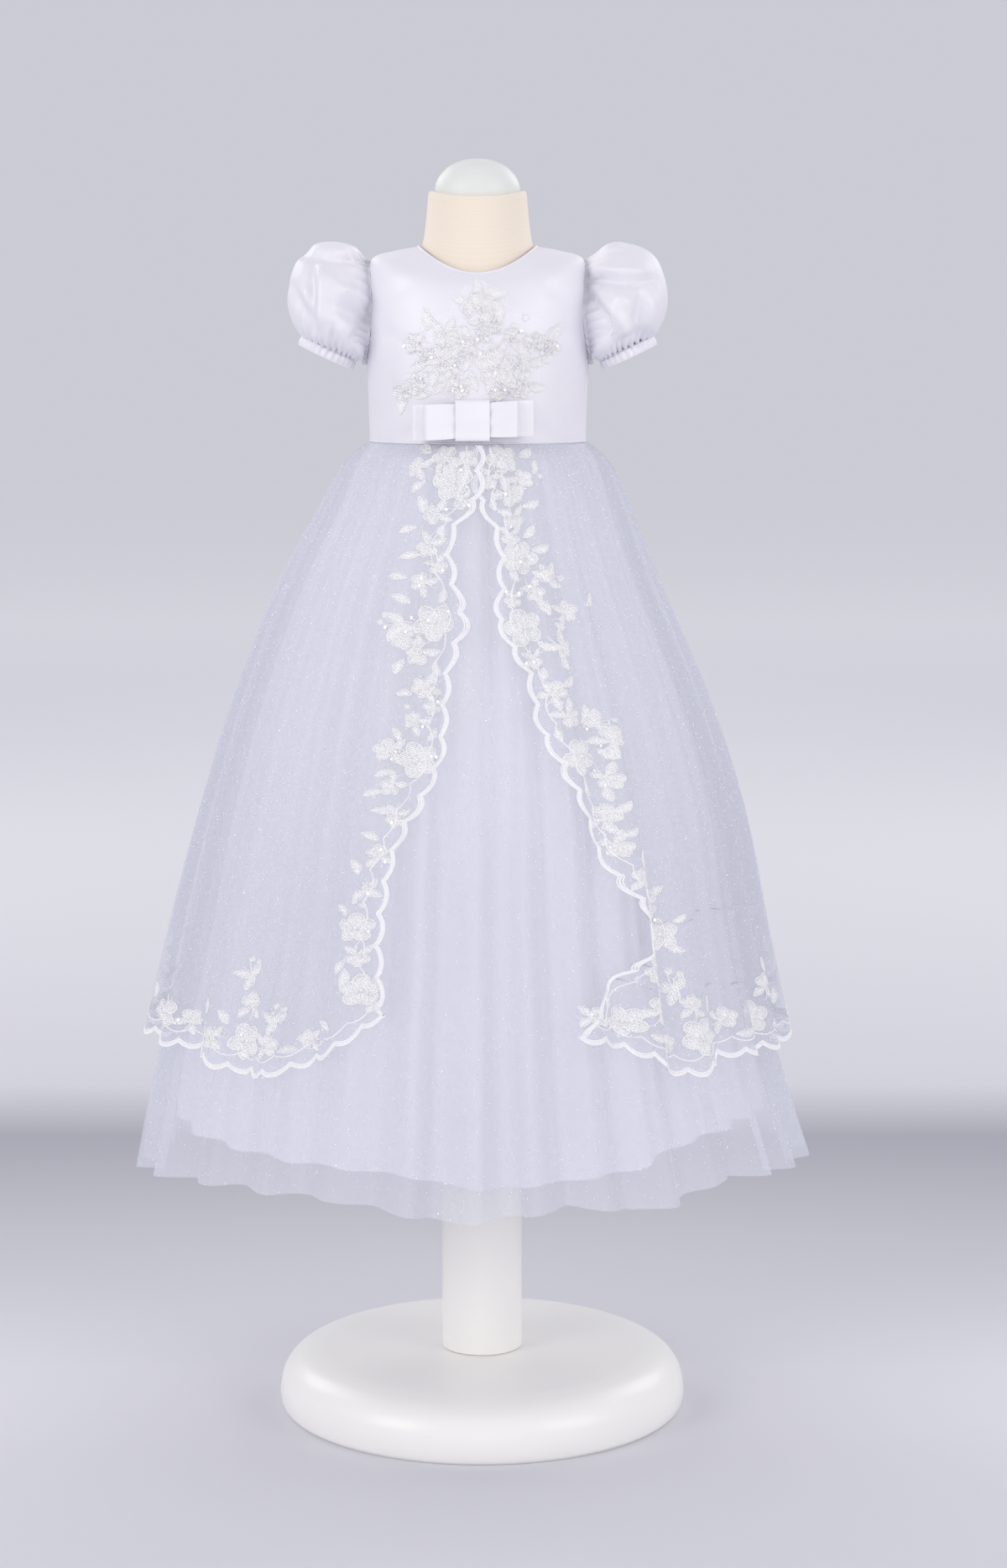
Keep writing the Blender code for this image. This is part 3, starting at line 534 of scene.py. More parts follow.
# Folds: angle of the crest, depth at the hem, how far it leans over sideways
FOLDS = (
    (-84, 0.016, 0.5), (-66, 0.020, -0.6), (-51, 0.014, 0.8), (-37, 0.020, 1.0), (-24, 0.012, -0.8),
    (-12, 0.018, 1.1), (-1, 0.014, 0.9), (10, 0.016, -1.0), (21, 0.012, 0.8), (33, 0.020, 1.1),
    (45, 0.014, -0.9), (58, 0.018, 1.0), (71, 0.012, -0.5), (84, 0.016, 0.6), (96, 0.018, -0.6),
    (111, 0.014, 0.9), (127, 0.020, -1.0), (144, 0.014, 0.8), (162, 0.018, 1.0), (180, 0.014, -0.7),
    (198, 0.018, 1.0), (216, 0.012, -0.8), (233, 0.020, 0.9), (249, 0.014, -0.9), (264, 0.016, 0.5),
)
LINING_FOLDS = 0.6
# Hems: angle, height
NET_HEM = ((-180, 0.206), (-135, 0.204), (-90, 0.192), (-77, 0.200), (-52, 0.210), (-38, 0.213),
           (-24, 0.212), (-11, 0.205), (-5, 0.200), (4, 0.203), (15, 0.210), (28, 0.203),
           (38, 0.207), (46, 0.216), (66, 0.208), (90, 0.203), (135, 0.205), (180, 0.206))
LINING_HEM = ((-180, 0.230), (-90, 0.236), (-45, 0.232), (-14, 0.228), (0, 0.218), (18, 0.223),
              (30, 0.226), (44, 0.240), (66, 0.245), (90, 0.240), (135, 0.233), (180, 0.230))
OVER_HEM = ((-180, 0.300), (-120, 0.298), (-82, 0.302), (-58, 0.305), (-43, 0.295), (-31, 0.306),
            (-25, 0.320), (-16, 0.346), (18, 0.331), (28, 0.320), (40, 0.296), (53, 0.303),
            (79, 0.297), (120, 0.298), (180, 0.300))
# Tips of the scalloped front edges: height, angle on the -X panel, angle on the +X panel
FRONT_EDGE = (
    (0.7592, 2.5, -4.0), (0.7230, 1.0, -3.0), (0.6920, -7.5, 4.5), (0.6560, -5.0, 5.0),
    (0.6320, -2.5, 4.0), (0.5960, -5.8, 11.0), (0.5600, -6.5, 13.0), (0.5360, -7.0, 16.5),
    (0.5000, -11.7, 21.0), (0.4700, -15.4, 24.5), (0.4440, -17.0, 28.7), (0.4000, -17.6, 33.8),
    (0.3600, -16.5, 23.0), (0.3310, -16.0, 18.0),
)
OVERLAP_LIFT, OVERLAP_ANGLE, OVERLAP_FOOT = 0.0029, 30.0, 0.640


def smooth(table, place):
    """All columns of a table read between its rows on a Catmull-Rom curve; place counts rows."""
    table = np.asarray(table, float)
    place = np.clip(np.asarray(place, float), 0, len(table) - 1)
    row = np.minimum(place.astype(int), len(table) - 2)
    part = (place - row)[..., None]
    p0, p1, p2 = table[np.maximum(row - 1, 0)], table[row], table[row + 1]
    p3 = table[np.minimum(row + 2, len(table) - 1)]
    curve = 2 * p0 - 5 * p1 + 4 * p2 - p3 + part * (3 * (p1 - p2) + p3 - p0)
    return np.moveaxis(p1 + 0.5 * part * (p2 - p0 + part * curve), -1, 0)


def body_ring(angle, side, side_height, front, front_height, back, back_height):
    """A ring round the body: two half ellipses whose height eases from the front to the side."""
    sine, cosine = np.sin(angle), np.cos(angle)
    depth = np.where(cosine > 0, front, back)
    height = np.where(cosine > 0, front_height, back_height)
    return np.stack([BODY_X + side * sine, -depth * cosine,
                     height * cosine ** 2 + side_height * sine ** 2], -1)


def bodice(place, angle):
    """Outer face of the bodice: place counts rows of the table from waist to neckline."""
    return body_ring(angle, *smooth(BODICE, place))


def normals(surface, first, second, step_first, step_second):
    """Unit normals of a surface of two parameters, from small steps to both sides of each point."""
    along = surface(first + step_first, second) - surface(first - step_first, second)
    across = surface(first, second + step_second) - surface(first, second - step_second)
    return unit(np.cross(across, along))


def outwards(normal, points, middle):
    """Normals turned so that they point away from a middle point."""
    return normal * np.sign(np.sum(normal * (points - middle), -1, keepdims=True))


def bodice_normals(place, angle):
    """Normals of the bodice, away from the middle of the chest."""
    return outwards(normals(bodice, place, angle, 0.02, 0.01), bodice(place, angle), (BODY_X, 0, 0.80))


print("tables:", len(BODICE), "bodice rows,", len(SKIRT), "skirt rows,", len(FOLDS), "folds")

# %% [markdown]
# ## The dress form
#
# The torso and neck are one padded shape under a jersey cover: a stack of rings, each two half
# ellipses, joined by a smooth curve from ring to ring. Its collar is turned in over the neck's rim. The
# cap, pole and base are round, so each is a profile carried round an axis.

# %% Sizes of the form
FORM_INSET = 0.0042       # how far the torso lies inside the bodice's outer face
FORM_COLLAR = (0.0426, 0.9065, 0.0425, 0.8960, 0.0385, 0.9055)
# Side half width, height, front depth, back depth
FORM_NECK = (
    (0.0408, 0.9130, 0.0400, 0.0385), (0.0392, 0.9250, 0.0380, 0.0370), (0.0380, 0.9380, 0.0365, 0.0360),
    (0.0374, 0.9450, 0.0358, 0.0355), (0.0360, 0.9480, 0.0344, 0.0342), (0.0342, 0.9472, 0.0328, 0.0326),
    (0.0334, 0.9440, 0.0320, 0.0318),
)
NECK_SLOPE = 0.004        # how much lower the neck's rings are in front
# The inner rim dips in front, where the cap shows most: ring, share of the dip
RIM_DIP, RIM_DIPS = 0.006, ((-3, 0.2), (-2, 0.8), (-1, 1.0))
FORM_HIPS = (
    (0.0400, 0.6000, 0.0380, 0.0380), (0.0660, 0.6030, 0.0560, 0.0580), (0.0800, 0.6150, 0.0670, 0.0700),
    (0.0870, 0.6400, 0.0730, 0.0760), (0.0870, 0.6700, 0.0730, 0.0760), (0.0830, 0.7150, 0.0690, 0.0700),
)
# Turned profiles: radius, height
CAP = ((0.0310, 0.9300), (0.0320, 0.9320), (0.0325, 0.9480), (0.0308, 0.9555), (0.0272, 0.9612),
       (0.0205, 0.9672), (0.0110, 0.9710), (0.0030, 0.9722))
POLE = ((0.0307, 0.0449), (0.0315, 0.0457), (0.0315, 0.3000), (0.0315, 0.5989), (0.0307, 0.5997))
BASE = ((0.1560, 0.0000), (0.1588, 0.0030), (0.1600, 0.0095), (0.1594, 0.0180), (0.1568, 0.0270),
        (0.1515, 0.0345), (0.1430, 0.0400), (0.1320, 0.0430), (0.1180, 0.0443), (0.0700, 0.0445),
        (0.0335, 0.0446))


def refine(rings, steps):
    """More rings between the given ones, on a Catmull-Rom curve through each column."""
    place = np.linspace(0, len(rings) - 1, (len(rings) - 1) * steps + 1)
    table = smooth(rings.reshape(len(rings), -1), place)
    return np.moveaxis(table, 0, -1).reshape(len(place), *rings.shape[1:])


def solid(name, rings, material):
    """A closed body through rings of points, with a fan of triangles over each end."""
    rows, columns = rings.shape[:2]
    number = numbers(rows, columns, True)
    first, last = rows * columns, rows * columns + 1
    fans = [[first, b, a] for a, b in zip(number[0, :-1], number[0, 1:])]
    fans += [[last, a, b] for a, b in zip(number[-1, :-1], number[-1, 1:])]
    points = np.concatenate([rings.reshape(-1, 3), rings[:1].mean(1), rings[-1:].mean(1)])
    uv = cloth_uv(rings).reshape(-1, 2)
    uv = np.concatenate([uv, uv[:1], uv[-1:]])
    return add_mesh(name, points, quads(number).tolist() + fans, material, uv, sharp=40.0)


def turned(name, profile, segments, middle, material):
    """A profile of radii and heights carried round an upright axis at x = middle."""
    angle = np.linspace(0, 2 * np.pi, segments, endpoint=False)
    radius, height = np.array(profile).T[..., None]
    rings = np.stack([middle + radius * np.cos(angle), radius * np.sin(angle), height + 0 * angle], -1)
    return solid(name, rings, material)


# %% Form, cap, pole and base
angle = np.linspace(0, 2 * np.pi, 128, endpoint=False)
rings = [body_ring(angle, side, z, front, z, back, z) for side, z, front, back in FORM_HIPS]
for row in range(len(BODICE)):
    place = row + 0 * angle
    rings.append(bodice(place, angle) - FORM_INSET * bodice_normals(place, angle))
rings.append(body_ring(angle, *FORM_COLLAR))
rings += [body_ring(angle, side, z, front, z - NECK_SLOPE, back, z) for side, z, front, back in FORM_NECK]
for row, share in RIM_DIPS:
    forward = np.clip(-rings[row][:, 1] / 0.03, 0, 1)
    rings[row][:, 2] -= RIM_DIP * share * forward ** 2
finish_piece(solid("torso", refine(np.array(rings), 4), jersey), "form_jersey", "form_torso")
cap_profile = smooth(CAP, np.linspace(0, len(CAP) - 1, 29)).T
finish_piece(turned("cap", cap_profile, 96, BODY_X, cap_plastic), "form_cap", "form_cap")
finish_piece(turned("pole", POLE, 96, 0.0, stand_plastic), "stand_plastic", "form_pole")
base_profile = smooth(BASE, np.linspace(0, len(BASE) - 1, 51)).T
finish_piece(turned("base", base_profile, 160, 0.0, stand_plastic), "stand_plastic", "form_base")

# %% [markdown]
# ## Creases
#
# Satin shows a few soft troughs where it is pulled. Each is a line on the front or the back, with a
# width and a depth: a point near the line moves in by the depth times a bell curve of its distance.
# Beside the trough stands a lower lip, where the cloth is folded over.

# %% Creases
LIP_SHARE, LIP_PLACE = 0.45, 1.7    # height as a share of the trough's, distance in widths


def creased(points, normal, creases, front=-1, deeper=1.0):
    """Moves points along their normals: each crease is x, z of both its ends, width and depth.

    The lip lies on the left of the line, as seen from its first end, and fades at both ends.
    """
    facing = np.clip(front * points[..., 1] / 0.012 + 0.6, 0, 1)
    moved = np.zeros(points.shape[:-1])
    for x1, z1, x2, z2, width, depth in creases:
        start, along = np.array([x1, z1]), np.array([x2 - x1, z2 - z1])
        flat = points[..., [0, 2]] - start
        part = np.clip(flat @ along / (along @ along), 0, 1)
        distance = np.linalg.norm(flat - part[..., None] * along, axis=-1)
        ends = 0.35 + 0.65 * np.sin(np.pi * np.clip(part, 0.04, 0.96)) ** 0.7
        beside = (flat @ np.array([-along[1], along[0]])) / np.linalg.norm(along)
        lip = LIP_SHARE * np.exp(-((beside - LIP_PLACE * width) / width) ** 2) * (distance < 4 * width)
        trough = np.exp(-(distance / width) ** 2)
        moved += deeper * depth * ends * (trough - lip * np.clip(part * (1 - part) * 8, 0, 1))
    return points - (moved * facing)[..., None] * normal


# %% [markdown]
# ## The bodice
#
# One front and two backs, cut in satin. Each panel runs between its seams on the body's surface; at the
# armhole rows the side edge follows the armhole. The cloth lies smooth over the form, with slight pulls
# towards the armholes.

# %% Bodice panels
SATIN_WALL = 0.0009
BODICE_CREASES = (
    (-0.078, 0.862, -0.050, 0.880, 0.0060, 0.0007),
    (-0.080, 0.845, -0.058, 0.835, 0.0050, 0.0005),
    (-0.074, 0.812, -0.060, 0.790, 0.0070, 0.0005),
    (0.072, 0.862, 0.046, 0.880, 0.0060, 0.0007),
    (0.074, 0.846, 0.054, 0.838, 0.0050, 0.0005),
    (0.068, 0.815, 0.056, 0.785, 0.0070, 0.0005),
    (-0.060, 0.765, -0.035, 0.772, 0.0040, 0.0004),
    (0.056, 0.764, 0.034, 0.771, 0.0040, 0.0004),
)
armhole = smooth(ARMHOLE, np.linspace(0, len(ARMHOLE) - 1, 73))
places = np.linspace(0, len(BODICE) - 1, 97)
edges = np.interp(places, *armhole)


def part_seams(points):
    """Pulls the first and last columns of a panel in by half a seam."""
    points = points.copy()
    for edge, inner in ((0, 1), (-1, -2)):
        points[:, edge] += 0.5 * SEAM * unit(points[:, inner] - points[:, edge])
    return points


def bodice_panel(name, start, end, columns, node):
    """A panel from one edge angle to another at every row, between the waist and the neckline."""
    share = np.linspace(0, 1, columns)
    turn = np.radians(start[:, None] * (1 - share) + end[:, None] * share)
    place = np.repeat(places[:, None], columns, axis=1)
    points, normal = bodice(place, turn), bodice_normals(place, turn)
    facing = -1 if name == "bodice_front_satin" else 1
    points = part_seams(creased(points, normal, BODICE_CREASES, facing))
    panel = cloth(name, points, normal, SATIN_WALL, satin)
    finish_piece(panel, "satin", node)


bodice_panel("bodice_front_satin", -edges, edges, 121, "bodice_front")
bodice_panel("bodice_back_left_satin", 180 - edges, 180 + 0 * edges, 61, "bodice_back_left")
bodice_panel("bodice_back_right_satin", 180 + 0 * edges, 180 + edges, 61, "bodice_back_right")

# %% [markdown]
# ## Edges and seams
#
# The neckline's edge is turned in, which leaves a soft roll 2 mm thick. A tube carried along the edge
# shows it: each ring is a circle in the plane across the path. The waist seam is such a roll too.

# %% Tubes
NECK_ROLL, WAIST_ROLL = 0.0010, 0.0008


def tube(path, away, radius, sides, closed=False, flat=1.0):
    """Rings round a path: away gives the direction of a ring's first axis, flat squeezes it."""
    if closed:
        along = unit(np.roll(path, -1, axis=0) - np.roll(path, 1, axis=0))
    else:
        along = unit(np.gradient(path, axis=0))
    second = unit(np.cross(along, away))
    first = np.cross(second, along)
    turn = np.linspace(0, 2 * np.pi, sides, endpoint=False)
    ring = flat * np.cos(turn)[:, None] * first[:, None] + np.sin(turn)[:, None] * second[:, None]
    return path[:, None] + radius * ring


def tube_faces(rings, sides, closed=False):
    """Quads along a tube, with a fan of triangles over each open end."""
    number = numbers(rings, sides, True)
    if closed:
        return quads(np.vstack([number, number[:1]])).tolist()
    caps = [[number[0, 0], number[0, k + 1], number[0, k]] for k in range(1, sides - 1)]
    caps += [[number[-1, 0], number[-1, k], number[-1, k + 1]] for k in range(1, sides - 1)]
    return quads(number).tolist() + caps


def facing_out(points, faces):
    """Faces turned so that the closed mesh encloses a positive volume."""
    first, second, third = (points[[face[k] for face in faces]] for k in range(3))
    volume = np.einsum("ij,ij->i", first, np.cross(second, third)).sum()
    return faces if volume > 0 else [face[::-1] for face in faces]


def roll(name, path, away, radius, sides):
    """A closed roll of satin along a turned edge or a seam."""
    points = tube(path, away, radius, sides, closed=True).reshape(-1, 3)
    faces = facing_out(points, tube_faces(len(path), sides, True))
    finish_piece(add_mesh(name, points, faces, satin), "satin")


neck_angle = np.linspace(0, 2 * np.pi, 160, endpoint=False)
neck_place = np.full(160, len(BODICE) - 1.0)
roll("neckline_edge", bodice(neck_place, neck_angle), bodice_normals(neck_place, neck_angle), NECK_ROLL, 8)

# %% [markdown]
# ## Puff sleeves
#
# A puff sleeve is a piece of cloth much wider than the armhole and the cuff. It is gathered into both,
# so it stands out between them. Its rings fan out round a line at the underarm; the gathers are small
# waves that fade away from each seam, and the larger creases are listed one by one after the photograph.

# %% Sleeve tables
SLEEVE_LINE = 0.0860, 0.8172
SLEEVE_BACK = 0.0020
# Turn of the ring, near and far reach, depth to the front and back, lean of the front
SLEEVE = (
    (9, 0.0030, 0.0920, 0.0330, 0.0320, 0.0010), (20, 0.0040, 0.0965, 0.0430, 0.0390, 0.0040),
    (31, 0.0050, 0.0950, 0.0480, 0.0430, 0.0070), (42, 0.0060, 0.0850, 0.0480, 0.0430, 0.0070),
    (52, 0.0065, 0.0740, 0.0440, 0.0400, 0.0050), (60, 0.0070, 0.0620, 0.0370, 0.0340, 0.0020),
    (65, 0.0080, 0.0520, 0.0280, 0.0270, 0.0000),
)
SLEEVE_START = ((0.0014, 0.0000), (0.0008, 0.0030))
SLEEVE_COLUMNS, SLEEVE_WALL = 180, 0.0008
GATHERS, GATHER_DEPTH, GATHER_FADE = 27, 0.0013, 0.16
CUFF_HEIGHT, CUFF_WALL, CUFF_RIPPLE, CUFF_BELLY = 0.0070, 0.0016, 0.0006, 0.0007
SLEEVE_CREASE_DEPTH = 1.7
# Creases as x, z of both ends, width, depth; the left sleeve is the wearer's, at +X
SLEEVE_CREASES = {
    1: ((0.078, 0.8820, 0.129, 0.8800, 0.0040, 0.0040), (0.079, 0.872, 0.103, 0.833, 0.0055, 0.0042),
        (0.1206, 0.872, 0.1190, 0.839, 0.0050, 0.0032), (0.092, 0.898, 0.112, 0.904, 0.0045, 0.0016),
        (0.100, 0.870, 0.112, 0.862, 0.0060, -0.0018), (0.108, 0.835, 0.124, 0.842, 0.0040, 0.0016),
        (0.088, 0.850, 0.092, 0.836, 0.0040, 0.0020)),
    -1: ((-0.1346, 0.9006, -0.0866, 0.8953, 0.0040, 0.0034), (-0.1269, 0.894, -0.1265, 0.843, 0.0040, 0.0030),
         (-0.1416, 0.875, -0.1288, 0.8458, 0.0045, 0.0024), (-0.1109, 0.862, -0.0854, 0.8535, 0.0070, 0.0030),
         (-0.0874, 0.849, -0.0994, 0.8263, 0.0040, 0.0028), (-0.118, 0.884, -0.098, 0.872, 0.0060, -0.0018),
         (-0.112, 0.846, -0.108, 0.828, 0.0035, 0.0016)),
}
SLEEVE_BACK_CREASES = {
    1: ((0.080, 0.878, 0.118, 0.890, 0.0050, 0.0030), (0.084, 0.862, 0.112, 0.838, 0.0060, 0.0032),
        (0.122, 0.880, 0.126, 0.846, 0.0050, 0.0026)),
    -1: ((-0.086, 0.880, -0.124, 0.888, 0.0050, 0.0028), (-0.090, 0.860, -0.120, 0.842, 0.0060, 0.0034),
         (-0.104, 0.850, -0.102, 0.828, 0.0040, 0.0022)),
}


def sleeve_rings(side):
    """Outer rings of a puff sleeve from the armhole to the cuff, and the way the cuff goes on."""
    turn = np.linspace(0, 2 * np.pi, SLEEVE_COLUMNS, endpoint=False)
    up, forward = np.cos(turn), np.sin(turn)
    low, high = ARMHOLE_ROWS
    place = (low + high) / 2 + (high - low) / 2 * up
    edge = np.interp(place, *armhole)
    hole = bodice(place, np.radians(np.where(forward > 0, edge, 180 - edge)))
    middle = hole.mean(0) * (0, 1, 1) + hole * (1, 0, 0)
    inwards = unit(middle - hole)
    rings = [hole + inside * inwards + (away, 0, 0) for inside, away in SLEEVE_START]
    for degrees, near, far, front, back, lean in SLEEVE:
        reach = (near + far) / 2 + (far - near) / 2 * up
        out = SLEEVE_LINE[0] + BODY_X + reach * np.sin(np.radians(degrees))
        depth = np.where(forward > 0, front, back)
        rings.append(np.stack([out - lean * np.clip(forward, 0, 1) ** 2, -SLEEVE_BACK - depth * forward,
                               SLEEVE_LINE[1] + reach * np.cos(np.radians(degrees))], -1))
    rings = np.array(rings)
    last = np.radians(SLEEVE[-1][0])
    down = np.array([np.cos(last), 0, -np.sin(last)])
    if side < 0:
        rings = ((rings - (BODY_X, 0, 0)) * (-1, 1, 1) + (BODY_X, 0, 0))[:, ::-1]
        down = down * (-1, 1, 1)
    return rings, down


def make_sleeve(side, word):
    """A gathered puff with its creases, and the elastic casing that holds it round the arm."""
    coarse, down = sleeve_rings(side)
    points = refine(coarse, 7)
    normal = outwards(grid_normals(points, True), points, points.mean(axis=1, keepdims=True))
    share = np.linspace(0, 1, len(points))[:, None]
    turn = np.linspace(0, 2 * np.pi, SLEEVE_COLUMNS, endpoint=False)
    wave = np.cos(GATHERS * turn + 1.3 * np.sin(3 * turn) + side)
    grown = np.exp(-share / GATHER_FADE) * np.clip(share / 0.03, 0, 1) + np.exp((share - 1) / GATHER_FADE)
    # No gathers within 80 mm of the body's middle, where the cloth turns into the armhole
    room = np.clip(np.abs(points[..., 0] - BODY_X) / 0.002 - 40, 0, 1)
    points = points + (GATHER_DEPTH * wave * grown * room)[..., None] * normal
    points = creased(points, normal, SLEEVE_CREASES[side], -1, SLEEVE_CREASE_DEPTH)
    points = creased(points, normal, SLEEVE_BACK_CREASES[side], 1, SLEEVE_CREASE_DEPTH)
    normal = outwards(grid_normals(points, True), points, points.mean(axis=1, keepdims=True))
    sleeve = cloth("puff_sleeve_" + word, points, normal, SLEEVE_WALL, satin, True)
    finish_piece(sleeve, "satin", "sleeve_" + word)
    edge = coarse[-1]
    outer = unit(edge - edge.mean(0))
    drop = np.linspace(0, 1, 9)
    ripple = CUFF_RIPPLE * np.cos(GATHERS * turn + side)
    belly = CUFF_BELLY * np.sin(np.pi * drop)
    rings = edge + (SEAM + CUFF_HEIGHT * drop)[:, None, None] * down
    rings = rings + (belly[:, None] + ripple)[..., None] * outer
    outer = np.broadcast_to(outer, rings.shape)
    casing = cloth("sleeve_casing_" + word, rings, outer, CUFF_WALL, satin, True)
    finish_piece(casing, "satin", "cuff_" + word)


make_sleeve(1, "left")
make_sleeve(-1, "right")

# %% [markdown]
# ## The skirts
#
# Four panels of net and two of satin are gathered into one waist seam. The cloth bulges out below the
# waist and falls in broad folds that grow towards the hem. Each fold is one wave from valley to
# valley, and it leans to one side, as gathered net does, so one of its sides is steep. All layers
# share the folds, since they lie on each other, and each has fine gathers at the waist of its own.

# %% Folds and the surface of a skirt
ROWS = np.linspace(0, len(SKIRT) - 1, 400)
ROW_HEIGHTS = smooth(SKIRT, ROWS)[0]
WAIST_GATHERS, WAIST_DEPTH, WAIST_FADE = 118, 0.0007, 0.045
RIPPLE = 0.0005           # depth of the small waves on the folds
LEAN = 0.42               # how far the crests are carried sideways, as a share of their depth
MEAN_RADIUS = 0.17        # turns an angle to metres of cloth


def folds(angle):
    """Height of the folds at their full growth, and the sideways lean that goes with it."""
    crests, depths, leans = np.array(FOLDS, float).T
    crests = np.concatenate([[crests[-1] - 360], crests, [crests[0] + 360]])
    depths, leans = (np.concatenate([row[-1:], row, row[:1]]) for row in (depths, leans))
    degrees = (np.degrees(angle) + 90) % 360 - 90
    count = np.arange(len(crests))
    place = np.interp(degrees, crests, count)
    height = np.interp(place, count, depths) * (np.cos(np.pi * place) ** 2 - 0.5)
    return height, height * np.interp(place, count, leans)


def skirt(height, angle, layer="over", lift=0.0):
    """Outer face of one of the nested skirts: half ellipses, pushed in, out and aside by the folds."""
    place = np.interp(-height, -ROW_HEIGHTS, ROWS)
    level, left, right, front, back, growth, net_in, lining_in = smooth(SKIRT, place)
    inset = {"over": 0, "net": net_in, "lining": lining_in}[layer]
    share = LINING_FOLDS if layer == "lining" else 1.0
    fold, lean = folds(angle)
    below = SKIRT[0][0] - height
    ripple = RIPPLE * np.sin(19 * angle + 9 * height + 3 * np.sin(5 * angle))
    ripple = ripple * np.clip(below / 0.15, 0, 1) * np.clip(growth * 2, 0, 1)
    phase = {"over": 0.0, "net": 1.1, "lining": 2.3}[layer]
    gather = WAIST_DEPTH * np.cos(WAIST_GATHERS * angle + 3 * np.sin(7 * angle) + phase)
    gather = gather * np.exp(-np.clip(below, 0, 1) / WAIST_FADE) * np.clip(below / 0.002, 0, 1)
    reach = fold * growth * share - inset + lift + (ripple + gather) * share
    sine, cosine = np.sin(angle), np.cos(angle)
    side = np.where(sine < 0, left, right) + reach
    depth = np.where(cosine > 0, front, back) + reach
    aside = LEAN * lean * growth * share
    x, y = side * sine + aside * cosine, -depth * cosine + aside * sine
    return np.stack([x, y, level + 0 * reach], -1)


def skirt_normals(surface, height, angle):
    """Normals of a skirt's surface, away from its axis."""
    normal = normals(surface, height, angle, 0.001, 0.004)
    point = surface(height, angle)
    return normal * np.sign(np.sum(normal[..., :2] * point[..., :2], -1, keepdims=True))


def fall_uv(height, angle):
    """Measure of a skirt's cloth in metres: across by the angle at a mean radius, and down."""
    return np.stack([MEAN_RADIUS * angle, SKIRT[0][0] - height], -1)


def skirt_panel(name, layer, start, end, hem, size, wall, material, slot, node):
    """One panel of a gathered skirt, from the waist to its hem, with the rows and columns of its grid given
    by size.
    """
    rows, columns = size
    degrees = np.linspace(start, end, columns)
    bottom = np.interp((degrees + 180) % 360 - 180, *np.array(hem, float).T)
    share = np.linspace(0, 1, rows)[:, None] ** 1.25
    height = SKIRT[0][0] + (bottom - SKIRT[0][0]) * share
    angle = np.radians(np.repeat(degrees[None], rows, axis=0))

    def surface(z, turn):
        """This layer of the skirt."""
        return skirt(z, turn, layer)

    points = part_seams(surface(height, angle))
    normal = skirt_normals(surface, height, angle)
    panel = cloth(name, points, normal, wall, material, uv=fall_uv(height, angle))
    # Tulle scatters light on and hardly shades what it covers
    panel.visible_shadow = layer == "lining"
    finish_piece(panel, slot, node)


LINING_WALL, LINING_SIZE = 0.0009, (34, 160)
NET_WALL, NET_SIZE = 0.0005, (46, 310)
for word, start in (("front", -90.0), ("back", 90.0)):
    skirt_panel("lining_" + word, "lining", start, start + 180, LINING_HEM, LINING_SIZE, LINING_WALL,
                lining_satin, "satin", "skirt_lining_" + word)
for word, start in (("front", -90.0), ("back", 90.0)):
    skirt_panel("net_" + word, "net", start, start + 180, NET_HEM, NET_SIZE, NET_WALL, net,
                "glitter_net", "net_skirt_" + word)

# %% [markdown]
# ## The open overskirt
#
# Two panels meet at the waist, the wearer's right one over the left, and fall apart below, so the net
# skirt shows between them. A panel's rows start at its front edge and run to the middle of the back.
# Their ends follow scallops: bows of half a wave along the border, 23.5 mm long.

# %% Overskirt surface and borders
SCALLOP_LENGTH, SCALLOP_DEPTH = 0.0235, 0.0048
OVER_WALL, OVER_ROWS = 0.0005, 140
BORDER_SHARE, BORDER_COLUMNS, OTHER_COLUMNS = 0.12, 26, 210    # finer columns next to the front edge


def over_skirt(height, angle, side):
    """Outer face of the overskirt; the panel on top is lifted over the other one near the waist."""
    if side > 0:
        return skirt(height, angle)
    near = np.clip(1 - np.abs(np.degrees(angle)) / OVERLAP_ANGLE, 0, 1)
    high = np.clip((height - OVERLAP_FOOT) / (SKIRT[0][0] - OVERLAP_FOOT), 0, 1)
    return skirt(height, angle, lift=OVERLAP_LIFT * np.sqrt(near) * np.sqrt(high))


def over_normals(height, angle, side):
    """Normals of the overskirt, away from its axis."""
    return skirt_normals(lambda z, turn: over_skirt(z, turn, side), height, angle)


FRONT_PLACES = np.linspace(0, len(FRONT_EDGE) - 1, 300)
FRONT_LINE = smooth(FRONT_EDGE, FRONT_PLACES)


def front_edge(height, side):
    """Angle in degrees of the front edge at a height, on a smooth curve through its table."""
    return np.interp(-height, -FRONT_LINE[0], FRONT_LINE[2 if side > 0 else 1])


def hem_tip(degrees):
    """Height of the overskirt's hem at an angle, on a smooth curve through its table."""
    angles = [row[0] for row in OVER_HEM]
    place = np.interp((degrees + 180) % 360 - 180, angles, np.arange(len(OVER_HEM)))
    return smooth(OVER_HEM, place)[1]


def lace_turn(height, width):
    """Angle in degrees that a width of lace takes up at a height."""
    table = smooth(SKIRT, np.interp(-height, -ROW_HEIGHTS, ROWS))
    return np.degrees(width / ((table[3] + table[2] + table[1]) / 3))


def over_point(height, degrees, side, lift=0.0):
    """A point on the overskirt, moved off it along its normal by lift."""
    angle = np.radians(degrees)
    return over_skirt(height, angle, side) + np.asarray(lift)[..., None] * over_normals(height, angle, side)


def scallop(along):
    """Inward reach of the scalloped edge: 0 at the middle of a bow, full in the notch between two."""
    return SCALLOP_DEPTH * (1 - np.abs(np.sin(np.pi * along / SCALLOP_LENGTH)) ** 0.8)


def front_length(side):
    """Distance down the front edge to each height of FRONT_LINE."""
    return distances(over_skirt(FRONT_LINE[0], np.radians(FRONT_LINE[2 if side > 0 else 1]), side))


